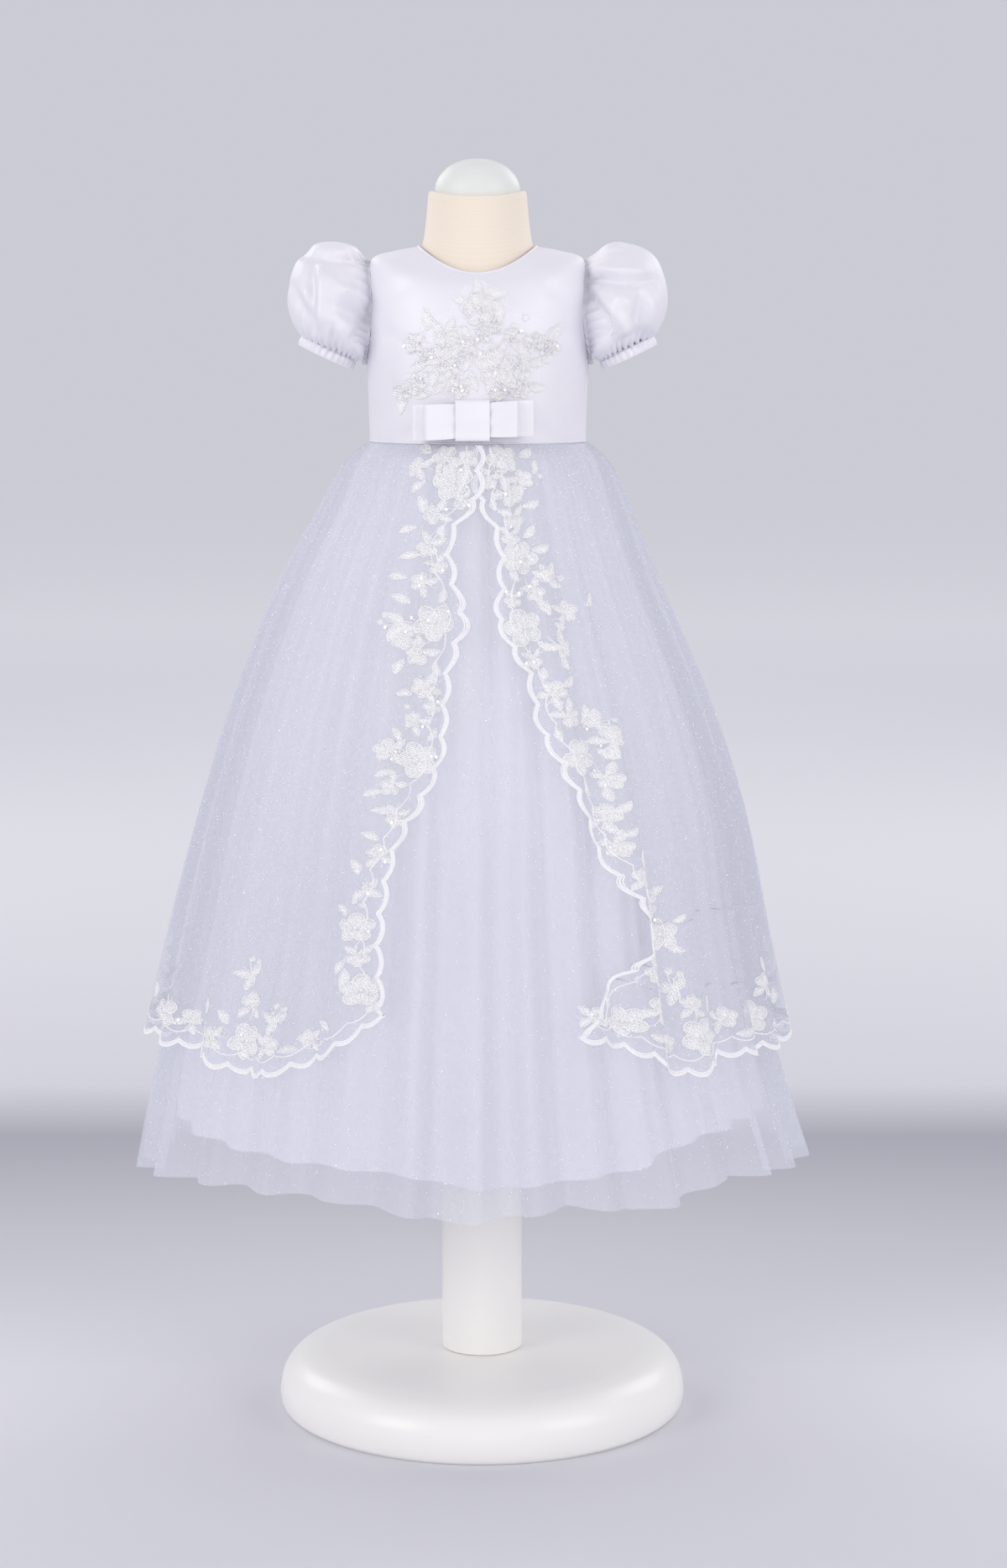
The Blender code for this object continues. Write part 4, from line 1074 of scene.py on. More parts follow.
def hem_length(side):
    """Angles along the hem from the front corner to the back, and the distance to each."""
    start = front_edge(FRONT_EDGE[-1][0], side)
    degrees = np.linspace(start, side * 180.0, 900)
    return degrees, distances(over_skirt(hem_tip(degrees), np.radians(degrees), side))


def over_panel(side, word):
    """The net of one side, cut in scallops down its front edge and along its hem.

    The front edge depends on the height and the hem on the angle, so both are found together by steps.
    """
    share = np.linspace(0, 1, OVER_ROWS)[:, None]
    across = np.concatenate([np.linspace(0, BORDER_SHARE, BORDER_COLUMNS)[:-1],
                             np.linspace(BORDER_SHARE, 1, OTHER_COLUMNS)])[None]
    hem_degrees, hem_metres = hem_length(side)
    down = front_length(side)
    level = np.full((len(share), across.shape[1]), SKIRT[0][0])
    for _ in range(40):
        front = front_edge(level[:, :1], side)
        notch = scallop(np.interp(-level[:, :1], -FRONT_LINE[0], down))
        front = front + side * lace_turn(level[:, :1], notch)
        degrees = front + (side * 180.0 - front) * across
        metres = np.interp(side * degrees, side * hem_degrees, hem_metres)
        bottom = hem_tip(degrees) + scallop(metres)
        level = level + 0.5 * (SKIRT[0][0] + (bottom - SKIRT[0][0]) * share - level)
    angle = np.radians(degrees)
    points = over_skirt(level, angle, side)
    points[:, -1, 0] += side * 0.5 * SEAM
    normal = over_normals(level, angle, side)
    panel = cloth("overskirt_net_" + word, points, normal, OVER_WALL, over_net, uv=fall_uv(level, angle))
    panel.visible_shadow = False
    finish_piece(panel, "glitter_net", "overskirt_" + word, "lace_edge_" + word)
    return panel, (longest(points[-1:], 1), longest(points, 0)), area_of(points)


over_sheets = {side: over_panel(side, word) for side, word in ((1, "left"), (-1, "right"))}

# %% [markdown]
# ## Shapes of the embroidery
#
# The lace is corded: each petal, leaf and bud is filled with stitches and outlined by a raised cord.
# Here such a shape is one small closed cushion. Rings of its own outline shrink towards the middle: the
# edge lies on the net, the next ring is the crest of the cord, then come a valley and the padded
# middle. The same few shapes are placed hundreds of times, so each has only a few dozen faces.

# %% Petals, leaves and buds
RELIEF = 0.0008           # height of the cord above the net
FULLER = 1.16             # how much each petal and leaf is larger than its share of the motif
# Rings of a cushion: share of the outline, height as a share of the relief
CUSHION = ((1.00, 0.12), (0.93, 1.00), (0.84, 0.35), (0.46, 0.55))
CORD, FILL = 0, 1         # which thread a face is stitched with


def cushion(outline, vein=0.0):
    """A closed patch of a flat outline: points as u, v, height share, its faces and their threads."""
    count = len(outline)
    along = np.abs(outline[:, 0]) / np.abs(outline[:, 0]).max()
    rings = []
    for share, height in CUSHION:
        level = height + vein * (share < 0.9) * along ** 4 * (1 - height)
        rings.append(np.column_stack([outline * share, np.broadcast_to(level, count)]))
    middle = [[0, 0, CUSHION[-1][1] + 0.3 * vein], [0, 0, CUSHION[0][1]]]
    points = np.concatenate([*rings, middle])
    number = numbers(len(rings), count, True)
    top, bottom = len(points) - 2, len(points) - 1
    faces = quads(number).tolist()
    faces += [[number[-1, k], number[-1, k + 1], top] for k in range(count)]
    faces += [[number[0, k + 1], number[0, k], bottom] for k in range(count)]
    kinds = [CORD] * 2 * count + [FILL] * 3 * count
    return points, faces, kinds


def stem(bend, half=0.036, rings=7):
    """A short corded stem: a flat four-sided tube along an arc of length one."""
    along = np.linspace(-0.5, 0.5, rings)[:, None]
    section = np.array([[half, 0.35], [0.0, 0.85], [-half, 0.35], [0.0, 0.10]])
    points = np.stack([along + 0 * section[:, 0], bend * (1 - 4 * along ** 2) + section[:, 0],
                       0 * along + section[:, 1]], -1)
    faces = tube_faces(rings, 4)
    return points.reshape(-1, 3), faces, [CORD] * len(faces)


def oval(length, width, count=12):
    """Outline of an ellipse."""
    turn = np.linspace(0, 2 * np.pi, count, endpoint=False)
    return np.column_stack([length / 2 * np.cos(turn), width / 2 * np.sin(turn)])


def pointed(length, width, count=12):
    """Outline of a leaf: half waves to both sides of its axis, so both ends are points."""
    turn = np.linspace(0, 2 * np.pi, count, endpoint=False)
    half = np.sin(np.pi * (1 - np.cos(turn)) / 2) * np.sign(np.sin(turn))
    bend = 0.10 * length * np.cos(turn) ** 2
    return np.column_stack([length / 2 * np.cos(turn), width / 2 * half + bend])


PETAL, BUD = cushion(oval(0.86, 0.76)), cushion(oval(1.0, 1.0, 10))
LEAF, STEM = cushion(pointed(1.0, 0.50), 0.9), stem(0.14)
# What each motif holds, in units of its own radius: shape, place along and up, turn, size
FLOWER = [(PETAL, 0.57 * np.cos(t), 0.57 * np.sin(t), np.degrees(t), 1.0)
          for t in np.radians(90 + 72 * np.arange(5))] + [(BUD, 0, 0, 0, 0.40)]
BLOSSOM = [(PETAL, 0.30, 0.44, 55, 0.96), (PETAL, 0.60, 0.0, 0, 1.0), (PETAL, 0.28, -0.46, -56, 0.96),
           (BUD, -0.02, 0, 0, 0.42), (LEAF, -0.52, 0.56, 130, 1.20), (LEAF, -0.56, -0.50, 228, 1.20),
           (STEM, -0.72, 0.02, 178, 1.2)]
SPRAY = [(LEAF, 0.10, 0.62, 66, 1.40), (LEAF, -0.62, 0.30, 150, 1.25), (BUD, 1.20, 0.16, 0, 0.46),
         (BUD, 0.98, -0.42, 0, 0.40), (LEAF, 0.28, -0.34, -32, 1.15), (STEM, 0.55, 0.06, 8, 1.15),
         (STEM, 0.45, -0.18, -26, 1.0), (STEM, -0.45, 0.02, 178, 1.1)]
SINGLE_LEAF = [(LEAF, 0, 0, 0, 1.0)]
SINGLE_BUD = [(BUD, 0, 0, 0, 1.0)]
MOTIFS = {"flower": FLOWER, "blossom": BLOSSOM, "spray": SPRAY, "leaf": SINGLE_LEAF, "bud": SINGLE_BUD}


def spread(table):
    """Every shape of a table of motifs as rows: which shape, along, up, turn and size in metres."""
    rows = []
    for kind, along, up, size, turn in table:
        cosine, sine = np.cos(np.radians(turn)), np.sin(np.radians(turn))
        for shape, u, v, own_turn, own_size in MOTIFS[kind]:
            u, v = size * (u * cosine - v * sine), size * (u * sine + v * cosine)
            rows.append((shape, along, up, u, v, np.radians(own_turn + turn), FULLER * own_size * size))
    return rows


def sewn_on(table, surface):
    """Points, faces and threads of all a table's shapes, on a surface of along, up, u, v and height."""
    points, faces, kinds, first = [], [], [], 0
    for shape in (PETAL, LEAF, BUD, STEM):
        rows = [row[1:] for row in spread(table) if row[0] is shape]
        if not rows:
            continue
        along, up, u, v, turn, size = (column[:, None] for column in np.array(rows).T)
        local, own_faces, own_kinds = shape
        x, y, height = local.T
        across = u + size * (x * np.cos(turn) - y * np.sin(turn))
        upwards = v + size * (x * np.sin(turn) + y * np.cos(turn))
        placed = surface(along + 0 * across, up + 0 * across, across, upwards, RELIEF * height + 0 * across)
        for k in range(len(rows)):
            faces += [[first + k * len(local) + n for n in face] for face in own_faces]
        points.append(placed.reshape(-1, 3))
        kinds += own_kinds * len(rows)
        first += len(rows) * len(local)
    return np.concatenate(points), faces, kinds


def join_parts(parts):
    """One array of points, one list of faces and one of threads from several of each."""
    first = np.cumsum([0] + [len(part[0]) for part in parts])
    faces = [[n + start for n in face] for part, start in zip(parts, first) for face in part[1]]
    return np.concatenate([part[0] for part in parts]), faces, sum((list(part[2]) for part in parts), [])


def recalculated(piece):
    """Turns the faces of a piece of many closed parts outwards."""
    mesh = bmesh.new()
    mesh.from_mesh(piece.data)
    bmesh.ops.recalc_face_normals(mesh, faces=mesh.faces)
    mesh.to_mesh(piece.data)
    mesh.free()
    return piece


print("faces of a petal, a leaf, a bud:", [len(shape[1]) for shape in (PETAL, LEAF, BUD)])

# %% [markdown]
# ## The border of the overskirt
#
# The border runs down each front edge, round the corner and along the hem. Three cords lie close
# together along its scallops, and a thin one waves 12 mm further in. Flowers, leaves and sprays lie
# along it, placed one by one after the photograph: by their height and distance from the edge on the
# front, and by their angle and height over the edge on the hem. The hidden back repeats them.

# %% Motifs of the border
# On the front edge: kind, height, distance in from the edge, size in metres, turn in degrees
FRONT_MOTIFS = {
    -1: (("flower", 0.7320, 0.022, 0.0138, 10), ("blossom", 0.7490, 0.028, 0.0095, 120),
         ("blossom", 0.7420, 0.047, 0.0085, 170), ("blossom", 0.7090, 0.024, 0.0090, 200),
         ("leaf", 0.7160, 0.038, 0.0130, 110), ("blossom", 0.6860, 0.018, 0.0090, 250),
         ("leaf", 0.6790, 0.031, 0.0120, 190), ("blossom", 0.6590, 0.026, 0.0085, 150),
         ("leaf", 0.6640, 0.041, 0.0120, 175), ("flower", 0.6310, 0.024, 0.0140, 40),
         ("spray", 0.6300, 0.047, 0.0110, 172), ("leaf", 0.6480, 0.042, 0.0130, 150),
         ("blossom", 0.6090, 0.028, 0.0100, 230), ("leaf", 0.5990, 0.040, 0.0120, 250),
         ("blossom", 0.5850, 0.019, 0.0090, 200), ("leaf", 0.5800, 0.033, 0.0120, 180),
         ("bud", 0.5700, 0.030, 0.0045, 0), ("blossom", 0.5600, 0.024, 0.0080, 150),
         ("flower", 0.5330, 0.019, 0.0135, 20), ("blossom", 0.5390, 0.040, 0.0095, 170),
         ("leaf", 0.5500, 0.036, 0.0120, 120), ("blossom", 0.5140, 0.028, 0.0085, 230),
         ("leaf", 0.5090, 0.038, 0.0110, 200), ("blossom", 0.4910, 0.014, 0.0085, 260),
         ("leaf", 0.4960, 0.026, 0.0120, 170), ("blossom", 0.4640, 0.014, 0.0080, 100),
         ("leaf", 0.4560, 0.024, 0.0120, 120), ("spray", 0.4380, 0.016, 0.0085, 260),
         ("flower", 0.4120, 0.018, 0.0110, 0), ("blossom", 0.3920, 0.016, 0.0080, 270),
         ("leaf", 0.3840, 0.028, 0.0120, 240), ("blossom", 0.7470, 0.014, 0.0080, 60),
         ("leaf", 0.7560, 0.042, 0.0120, 160), ("leaf", 0.7290, 0.046, 0.0120, 230),
         ("blossom", 0.7190, 0.013, 0.0070, 280), ("leaf", 0.6980, 0.036, 0.0120, 200),
         ("leaf", 0.6960, 0.012, 0.0100, 280), ("blossom", 0.6720, 0.013, 0.0070, 300),
         ("leaf", 0.6500, 0.014, 0.0110, 80), ("blossom", 0.6180, 0.040, 0.0085, 200),
         ("leaf", 0.5970, 0.014, 0.0110, 300), ("blossom", 0.5720, 0.013, 0.0070, 250),
         ("leaf", 0.5510, 0.012, 0.0110, 60), ("leaf", 0.5230, 0.038, 0.0110, 200),
         ("leaf", 0.4780, 0.024, 0.0110, 150), ("leaf", 0.4250, 0.028, 0.0110, 140)),
    1: (("flower", 0.7480, 0.022, 0.0115, 20), ("blossom", 0.7240, 0.026, 0.0105, 330),
        ("leaf", 0.7420, 0.047, 0.0110, 70), ("bud", 0.7360, 0.052, 0.0042, 0),
        ("leaf", 0.7150, 0.040, 0.0120, 20), ("blossom", 0.7060, 0.022, 0.0085, 280),
        ("flower", 0.6770, 0.018, 0.0125, 50), ("leaf", 0.6830, 0.034, 0.0130, 15),
        ("leaf", 0.6670, 0.036, 0.0125, 110), ("spray", 0.6610, 0.040, 0.0100, 355),
        ("blossom", 0.6530, 0.028, 0.0080, 300), ("flower", 0.6270, 0.020, 0.0142, 18),
        ("leaf", 0.6420, 0.038, 0.0135, 120), ("blossom", 0.6370, 0.056, 0.0095, 20),
        ("leaf", 0.6450, 0.074, 0.0130, 45), ("leaf", 0.6270, 0.048, 0.0115, 340),
        ("blossom", 0.6130, 0.040, 0.0095, 320), ("leaf", 0.6010, 0.034, 0.0125, 290),
        ("blossom", 0.5800, 0.018, 0.0095, 60), ("leaf", 0.5870, 0.032, 0.0135, 30),
        ("blossom", 0.5640, 0.026, 0.0095, 310), ("leaf", 0.5640, 0.044, 0.0125, 75),
        ("spray", 0.5560, 0.048, 0.0090, 10), ("flower", 0.5340, 0.021, 0.0140, 30),
        ("blossom", 0.5450, 0.050, 0.0100, 50), ("leaf", 0.5340, 0.043, 0.0125, 330),
        ("blossom", 0.5180, 0.036, 0.0090, 300), ("leaf", 0.5060, 0.030, 0.0115, 280),
        ("blossom", 0.4890, 0.020, 0.0105, 70), ("leaf", 0.4960, 0.034, 0.0125, 40),
        ("blossom", 0.4690, 0.018, 0.0090, 300), ("leaf", 0.4590, 0.028, 0.0120, 260),
        ("blossom", 0.4450, 0.017, 0.0085, 90), ("blossom", 0.4230, 0.018, 0.0090, 270),
        ("leaf", 0.4330, 0.032, 0.0120, 20), ("flower", 0.4010, 0.020, 0.0125, 10),
        ("leaf", 0.3900, 0.036, 0.0120, 340), ("blossom", 0.3780, 0.020, 0.0090, 240),
        ("leaf", 0.3690, 0.034, 0.0120, 300), ("blossom", 0.7340, 0.013, 0.0075, 250),
        ("blossom", 0.7330, 0.036, 0.0085, 40), ("leaf", 0.7520, 0.040, 0.0120, 30),
        ("leaf", 0.7160, 0.012, 0.0100, 280), ("blossom", 0.6930, 0.013, 0.0075, 270),
        ("leaf", 0.6950, 0.028, 0.0120, 50), ("leaf", 0.6640, 0.013, 0.0100, 300),
        ("blossom", 0.6480, 0.013, 0.0070, 260), ("leaf", 0.6130, 0.028, 0.0120, 330),
        ("blossom", 0.6040, 0.013, 0.0075, 280), ("leaf", 0.5930, 0.016, 0.0110, 80),
        ("leaf", 0.5500, 0.013, 0.0100, 280), ("leaf", 0.5100, 0.014, 0.0110, 290),
        ("leaf", 0.4780, 0.030, 0.0110, 30), ("leaf", 0.4120, 0.036, 0.0110, 30)),
}
# On the hem: kind, angle, height over the edge, size, turn
HEM_MOTIFS = {
    -1: (("flower", -21.0, 0.034, 0.0120, 0), ("blossom", -19.0, 0.017, 0.0070, 300),
         ("leaf", -23.5, 0.052, 0.0130, 80), ("leaf", -27.0, 0.026, 0.0120, 160),
         ("blossom", -30.5, 0.021, 0.0080, 180), ("leaf", -34.0, 0.018, 0.0120, 185),
         ("spray", -36.5, 0.042, 0.0095, 85), ("blossom", -38.0, 0.025, 0.0095, 20),
         ("flower", -44.0, 0.025, 0.0145, 30), ("blossom", -44.2, 0.052, 0.0100, 90),
         ("spray", -45.0, 0.074, 0.0100, 95), ("leaf", -49.0, 0.040, 0.0130, 130),
         ("blossom", -51.0, 0.022, 0.0090, 180), ("leaf", -55.0, 0.020, 0.0130, 170),
         ("leaf", -58.0, 0.034, 0.0120, 100), ("blossom", -61.5, 0.022, 0.0090, 60),
         ("flower", -67.0, 0.026, 0.0130, 12), ("blossom", -71.0, 0.050, 0.0095, 100),
         ("leaf", -70.0, 0.066, 0.0120, 80), ("leaf", -73.0, 0.020, 0.0130, 160),
         ("blossom", -78.0, 0.022, 0.0090, 190), ("leaf", -81.5, 0.036, 0.0120, 100)),
    1: (("blossom", 20.5, 0.021, 0.0080, 0), ("leaf", 23.5, 0.018, 0.0125, 10),
        ("leaf", 25.5, 0.036, 0.0130, 75), ("flower", 28.5, 0.023, 0.0120, 24),
        ("blossom", 33.5, 0.042, 0.0105, 60), ("leaf", 36.5, 0.060, 0.0130, 80),
        ("leaf", 33.0, 0.020, 0.0125, 340), ("blossom", 37.5, 0.022, 0.0090, 20),
        ("spray", 41.0, 0.066, 0.0110, 95), ("flower", 44.5, 0.029, 0.0145, 44),
        ("blossom", 43.5, 0.052, 0.0090, 90), ("leaf", 49.0, 0.045, 0.0130, 50),
        ("leaf", 50.0, 0.020, 0.0125, 350), ("blossom", 53.5, 0.030, 0.0095, 20),
        ("leaf", 57.0, 0.018, 0.0125, 10), ("blossom", 60.5, 0.022, 0.0090, 150),
        ("flower", 66.0, 0.026, 0.0130, 0), ("blossom", 70.0, 0.050, 0.0095, 80),
        ("leaf", 71.0, 0.066, 0.0120, 100), ("leaf", 72.0, 0.020, 0.0130, 10),
        ("blossom", 77.0, 0.022, 0.0090, 20), ("leaf", 81.0, 0.036, 0.0120, 80)),
}
# One repeat of the hidden back: kind, degrees on from the repeat's start, height, size, turn
BACK_REPEAT = (("leaf", 1.0, 0.020, 0.0125, 10), ("blossom", 4.5, 0.022, 0.0090, 60),
               ("flower", 10.0, 0.026, 0.0138, 24), ("blossom", 10.6, 0.052, 0.0095, 90),
               ("leaf", 9.6, 0.069, 0.0125, 100), ("leaf", 15.5, 0.040, 0.0130, 50),
               ("blossom", 17.0, 0.021, 0.0090, 350), ("leaf", 20.5, 0.030, 0.0125, 110))
BACK_START, BACK_STEP, BACK_COUNT = 84.0, 23.5, 4    # degrees, degrees, repeats
SQUEEZE = 0.95            # heights on the sloping cloth, as a share of its length
JUST_OFF = 0.0001
RIGHT_CORNER = 0.3455     # height at which the right panel's cords leave the front edge for the hem
# Cords: inset from the edge, radius, lift off the net, shift along the scallops, share of their depth
CORDS = ((0.0005, 0.0007, 0.0004, 0.0, 1.0), (0.0018, 0.0010, 0.0001, 0.0, 1.0),
         (0.0032, 0.0008, 0.0004, 0.0, 1.0), (0.0125, 0.0006, 0.0003, 0.4 * SCALLOP_LENGTH, 0.8))


def hem_table(side):
    """All hem motifs of one side: those that show, then the back's repeats up to its middle."""
    table = list(HEM_MOTIFS[side])
    for repeat in range(BACK_COUNT):
        for kind, on, up, size, turn in BACK_REPEAT:
            degrees = BACK_START + BACK_STEP * repeat + on
            if degrees < 178.5 - np.degrees(size / 0.2):
                table.append((kind, side * degrees, up, size, turn if side > 0 else 180 - turn))
    return table


def front_surface(side):
    """Surface for front motifs: along is the height, up the distance in; u goes to +X, v up."""
    def surface(level, inset, u, v, lift):
        """A point of the border beside the front edge."""
        z = level + SQUEEZE * v
        degrees = front_edge(level, side) + side * lace_turn(level, inset) + lace_turn(z, u)
        return over_point(z, degrees, side, lift + JUST_OFF)
    return surface


def hem_surface(side):
    """Surface for hem motifs: along is the angle, up the height over the edge; u goes to +X, v up."""
    def surface(degrees, up, u, v, lift):
        """A point of the border over the hem."""
        z = hem_tip(degrees) + up + SQUEEZE * v
        return over_point(z, degrees + lace_turn(z, u), side, lift + JUST_OFF)
    return surface


def border_line(side, inset, shift, depth):
    """Heights and angles of a line that follows the border, inset from its edge, with its scallops."""
    corner = FRONT_EDGE[-1][0] if side > 0 else RIGHT_CORNER
    z = np.arange(SKIRT[0][0] - 0.0006, corner + inset, -0.0012)
    wave = depth * scallop(np.interp(-z, -FRONT_LINE[0], front_length(side)) + shift)
    front = front_edge(z, side) + side * lace_turn(z, inset + wave)
    degrees, metres = hem_length(side)
    along = np.arange(metres[0] + inset + 0.001, metres[-1] - 0.0005, 0.0015)
    turn = np.interp(along, metres, degrees)
    heights = np.concatenate([z, hem_tip(turn) + inset + depth * scallop(along + shift)])
    turns = np.concatenate([front, turn])
    return heights, turns


def cord_on(heights, turns, side, radius, lift, sides=5):
    """A cord sewn along a line on the overskirt: a tube pressed a little flat."""
    angle = np.radians(turns)
    path = over_point(heights, turns, side, lift + 0 * turns)
    step = np.linalg.norm(np.diff(path, axis=0), axis=-1)
    keep = np.concatenate([[True], step > 0.0003])
    path, away = path[keep], over_normals(heights, angle, side)[keep]
    rings = tube(path, away, radius, sides, flat=0.7)
    faces = tube_faces(len(path), sides)
    return rings.reshape(-1, 3), faces, [CORD] * len(faces)


def lace_border(side, word):
    """Cords and motifs of one side's border, joined as one mesh."""
    parts = [cord_on(*border_line(side, inset, shift, depth), side, radius, lift)
             for inset, radius, lift, shift, depth in CORDS]
    parts += [sewn_on(FRONT_MOTIFS[side], front_surface(side)),
              sewn_on(hem_table(side), hem_surface(side))]
    points, faces, kinds = join_parts(parts)
    piece = add_mesh("lace_border_" + word, points, faces, [cord_thread, thread], sharp=180, kinds=kinds)
    recalculated(piece)
    piece.visible_shadow = False
    return finish_piece(piece, "lace")


borders = {side: lace_border(side, word) for side, word in ((1, "left"), (-1, "right"))}

# %% [markdown]
# ## The bodice's lace
#
# One shaped piece of the same embroidery is sewn to the middle of the bodice's front, white on white.
# Its net is cut close round the flowers. A motif's place is given across and up on the front.

# %% Lace on the bodice
LACE_MIDDLE = (-0.0050, 0.8180)
# Reach of the net at every 15 degrees from +X, going up
LACE_REACH = (0.050, 0.066, 0.062, 0.050, 0.050, 0.058, 0.062, 0.050, 0.044, 0.052, 0.046, 0.044,
              0.046, 0.054, 0.050, 0.035, 0.029, 0.026, 0.025, 0.026, 0.029, 0.035, 0.044, 0.050)
LACE_OFF = 0.0012         # how far the net's outer face stands off the satin
LACE_WALL, LACE_EDGE = 0.0004, 0.0012    # thickness of the net, depth of its small scallops
# Kind, across, up, size, turn
BODICE_MOTIFS = (
    ("leaf", -0.0020, 0.8735, 0.0140, 96), ("leaf", 0.0110, 0.8700, 0.0165, 352),
    ("flower", -0.0015, 0.8590, 0.0125, 12), ("leaf", 0.0140, 0.8570, 0.0155, 100),
    ("bud", 0.0330, 0.8525, 0.0048, 0), ("bud", 0.0245, 0.8465, 0.0042, 0),
    ("blossom", 0.0095, 0.8465, 0.0065, 300), ("leaf", -0.0390, 0.8515, 0.0155, 98),
    ("leaf", -0.0320, 0.8455, 0.0130, 122), ("blossom", -0.0490, 0.8335, 0.0085, 182),
    ("flower", -0.0235, 0.8320, 0.0135, 40), ("blossom", -0.0105, 0.8300, 0.0075, 60),
    ("leaf", -0.0465, 0.8165, 0.0140, 205), ("leaf", -0.0345, 0.8095, 0.0140, 252),
    ("blossom", -0.0490, 0.8030, 0.0075, 225), ("blossom", -0.0590, 0.7975, 0.0060, 200),
    ("leaf", -0.0585, 0.7885, 0.0135, 255), ("flower", 0.0110, 0.8170, 0.0145, 4),
    ("blossom", -0.0230, 0.8160, 0.0080, 200), ("blossom", -0.0160, 0.8015, 0.0085, 262),
    ("leaf", -0.0060, 0.8060, 0.0145, 285), ("leaf", 0.0300, 0.8310, 0.0160, 106),
    ("blossom", 0.0400, 0.8350, 0.0075, 25), ("leaf", 0.0540, 0.8410, 0.0150, 45),
    ("blossom", 0.0530, 0.8300, 0.0060, 0), ("leaf", 0.0410, 0.8195, 0.0145, 6),
    ("bud", 0.0345, 0.8110, 0.0048, 0), ("blossom", 0.0285, 0.8015, 0.0085, 300),
    ("leaf", 0.0410, 0.8010, 0.0140, 350), ("blossom", 0.0130, 0.7985, 0.0075, 270),
    ("blossom", 0.0020, 0.8400, 0.0065, 90), ("leaf", -0.0005, 0.8260, 0.0120, 140),
    ("blossom", 0.0240, 0.8390, 0.0070, 140), ("leaf", 0.0180, 0.8330, 0.0120, 60),
    ("leaf", -0.0120, 0.8430, 0.0120, 150), ("leaf", -0.0220, 0.8470, 0.0120, 60),
    ("blossom", 0.0300, 0.8180, 0.0070, 10), ("leaf", -0.0100, 0.8190, 0.0115, 240),
    ("leaf", -0.0340, 0.8210, 0.0120, 190), ("blossom", -0.0400, 0.8250, 0.0060, 170),
    ("leaf", -0.0300, 0.8020, 0.0120, 230), ("leaf", 0.0060, 0.8030, 0.0110, 250),
    ("leaf", 0.0210, 0.8080, 0.0110, 320), ("leaf", -0.0140, 0.8650, 0.0120, 160),
    ("leaf", -0.0420, 0.7960, 0.0110, 200), ("leaf", 0.0490, 0.8220, 0.0120, 20),
    ("bud", 0.0450, 0.8270, 0.0042, 0), ("bud", -0.0300, 0.8390, 0.0042, 0),
    ("bud", -0.0400, 0.8110, 0.0042, 0), ("bud", 0.0210, 0.8240, 0.0040, 0),
)


def bodice_front_at(across, up):
    """Point and normal of the bodice's front at a distance across and a height, by a few steps."""
    place = np.full(np.shape(across), 3.0)
    for _ in range(12):
        side = smooth(BODICE, place)[0]
        angle = np.arcsin(np.clip((across - BODY_X) / side, -0.99, 0.99))
        place = np.clip(place + (up - bodice(place, angle)[..., 2]) / 0.025, 0, len(BODICE) - 1)
    return bodice(place, angle), bodice_normals(place, angle)


def bodice_surface(across, up, u, v, lift):
    """Surface for the bodice's motifs: u goes to +X, v up."""
    point, normal = bodice_front_at(across + u, up + v)
    return point + (LACE_OFF + JUST_OFF + lift)[..., None] * normal


turn = np.linspace(0, 2 * np.pi, 120, endpoint=False)
reach = np.array(LACE_REACH + LACE_REACH[:3])[:, None]
reach = smooth(reach, np.degrees(turn) / 15)[0] + LACE_EDGE * np.cos(30 * turn)
rings = np.linspace(0.02, 1.0, 22)[:, None]
ground, ground_normal = bodice_front_at(LACE_MIDDLE[0] + rings * reach * np.cos(turn),
                                        LACE_MIDDLE[1] + rings * reach * np.sin(turn))
ground = ground + LACE_OFF * ground_normal
lace_ground = cloth("bodice_lace_net", ground, ground_normal, LACE_WALL, lace_net, True)
finish_piece(lace_ground, "lace", "bodice_lace")
points, faces, kinds = sewn_on(BODICE_MOTIFS, bodice_surface)
motifs = add_mesh("bodice_lace_flowers", points, faces, [cord_thread, thread], sharp=180, kinds=kinds)
finish_piece(recalculated(motifs), "lace")
lace_ground.visible_shadow = motifs.visible_shadow = False

# %% [markdown]
# ## Beads, sequins and glitter
#
# Seed pearls sit in the flowers' centres, and small clear sequins are scattered over the embroidery.
# The net carries flakes of glitter. All of them are low shapes of a few faces, placed together by one
# array of places and directions, with a seeded generator so that each run is the same.

# %% Small trims
PEARL, SEED_BEAD, SEQUIN, FLAKE_HALF = 0.0015, 0.00062, 0.00105, 0.00045    # radii in metres
FLAKES_OVER, FLAKES_NET = 4000, 5500
random = np.random.default_rng(11)


def small_shapes(template, faces, places, outward, size, tilt):
    """Copies of a small template, stood on a surface: u and v lie in it, w points out of it."""
    first = unit(np.cross(outward, (0.0, 0.0, 1.0)) + 1e-6)
    second = np.cross(outward, first)
    lean = tilt * random.normal(size=(len(places), 2))
    third = unit(outward + lean[:, :1] * first + lean[:, 1:] * second)
    first = unit(np.cross(second, third))
    second = np.cross(third, first)
    u, v, w = (template[:, k][None, :, None] for k in range(3))
    points = places[:, None] + size * (u * first[:, None] + v * second[:, None] + w * third[:, None])
    every = [[k * len(template) + n for n in face] for k in range(len(places)) for face in faces]
    return points.reshape(-1, 3), every


def ball(segments, rings):
    """A low sphere: rings of points between two poles."""
    down = np.pi * (np.arange(rings) + 1) / (rings + 1)
    turn = np.linspace(0, 2 * np.pi, segments, endpoint=False)
    points = np.stack([np.sin(down)[:, None] * np.cos(turn), np.sin(down)[:, None] * np.sin(turn),
                       np.cos(down)[:, None] + 0 * turn], -1).reshape(-1, 3)
    number = numbers(rings, segments, True)
    top, bottom = len(points), len(points) + 1
    faces = quads(number).tolist()
    faces += [[number[0, k + 1], number[0, k], top] for k in range(segments)]
    faces += [[number[-1, k], number[-1, k + 1], bottom] for k in range(segments)]
    return np.concatenate([points, [[0, 0, 1], [0, 0, -1]]]), faces


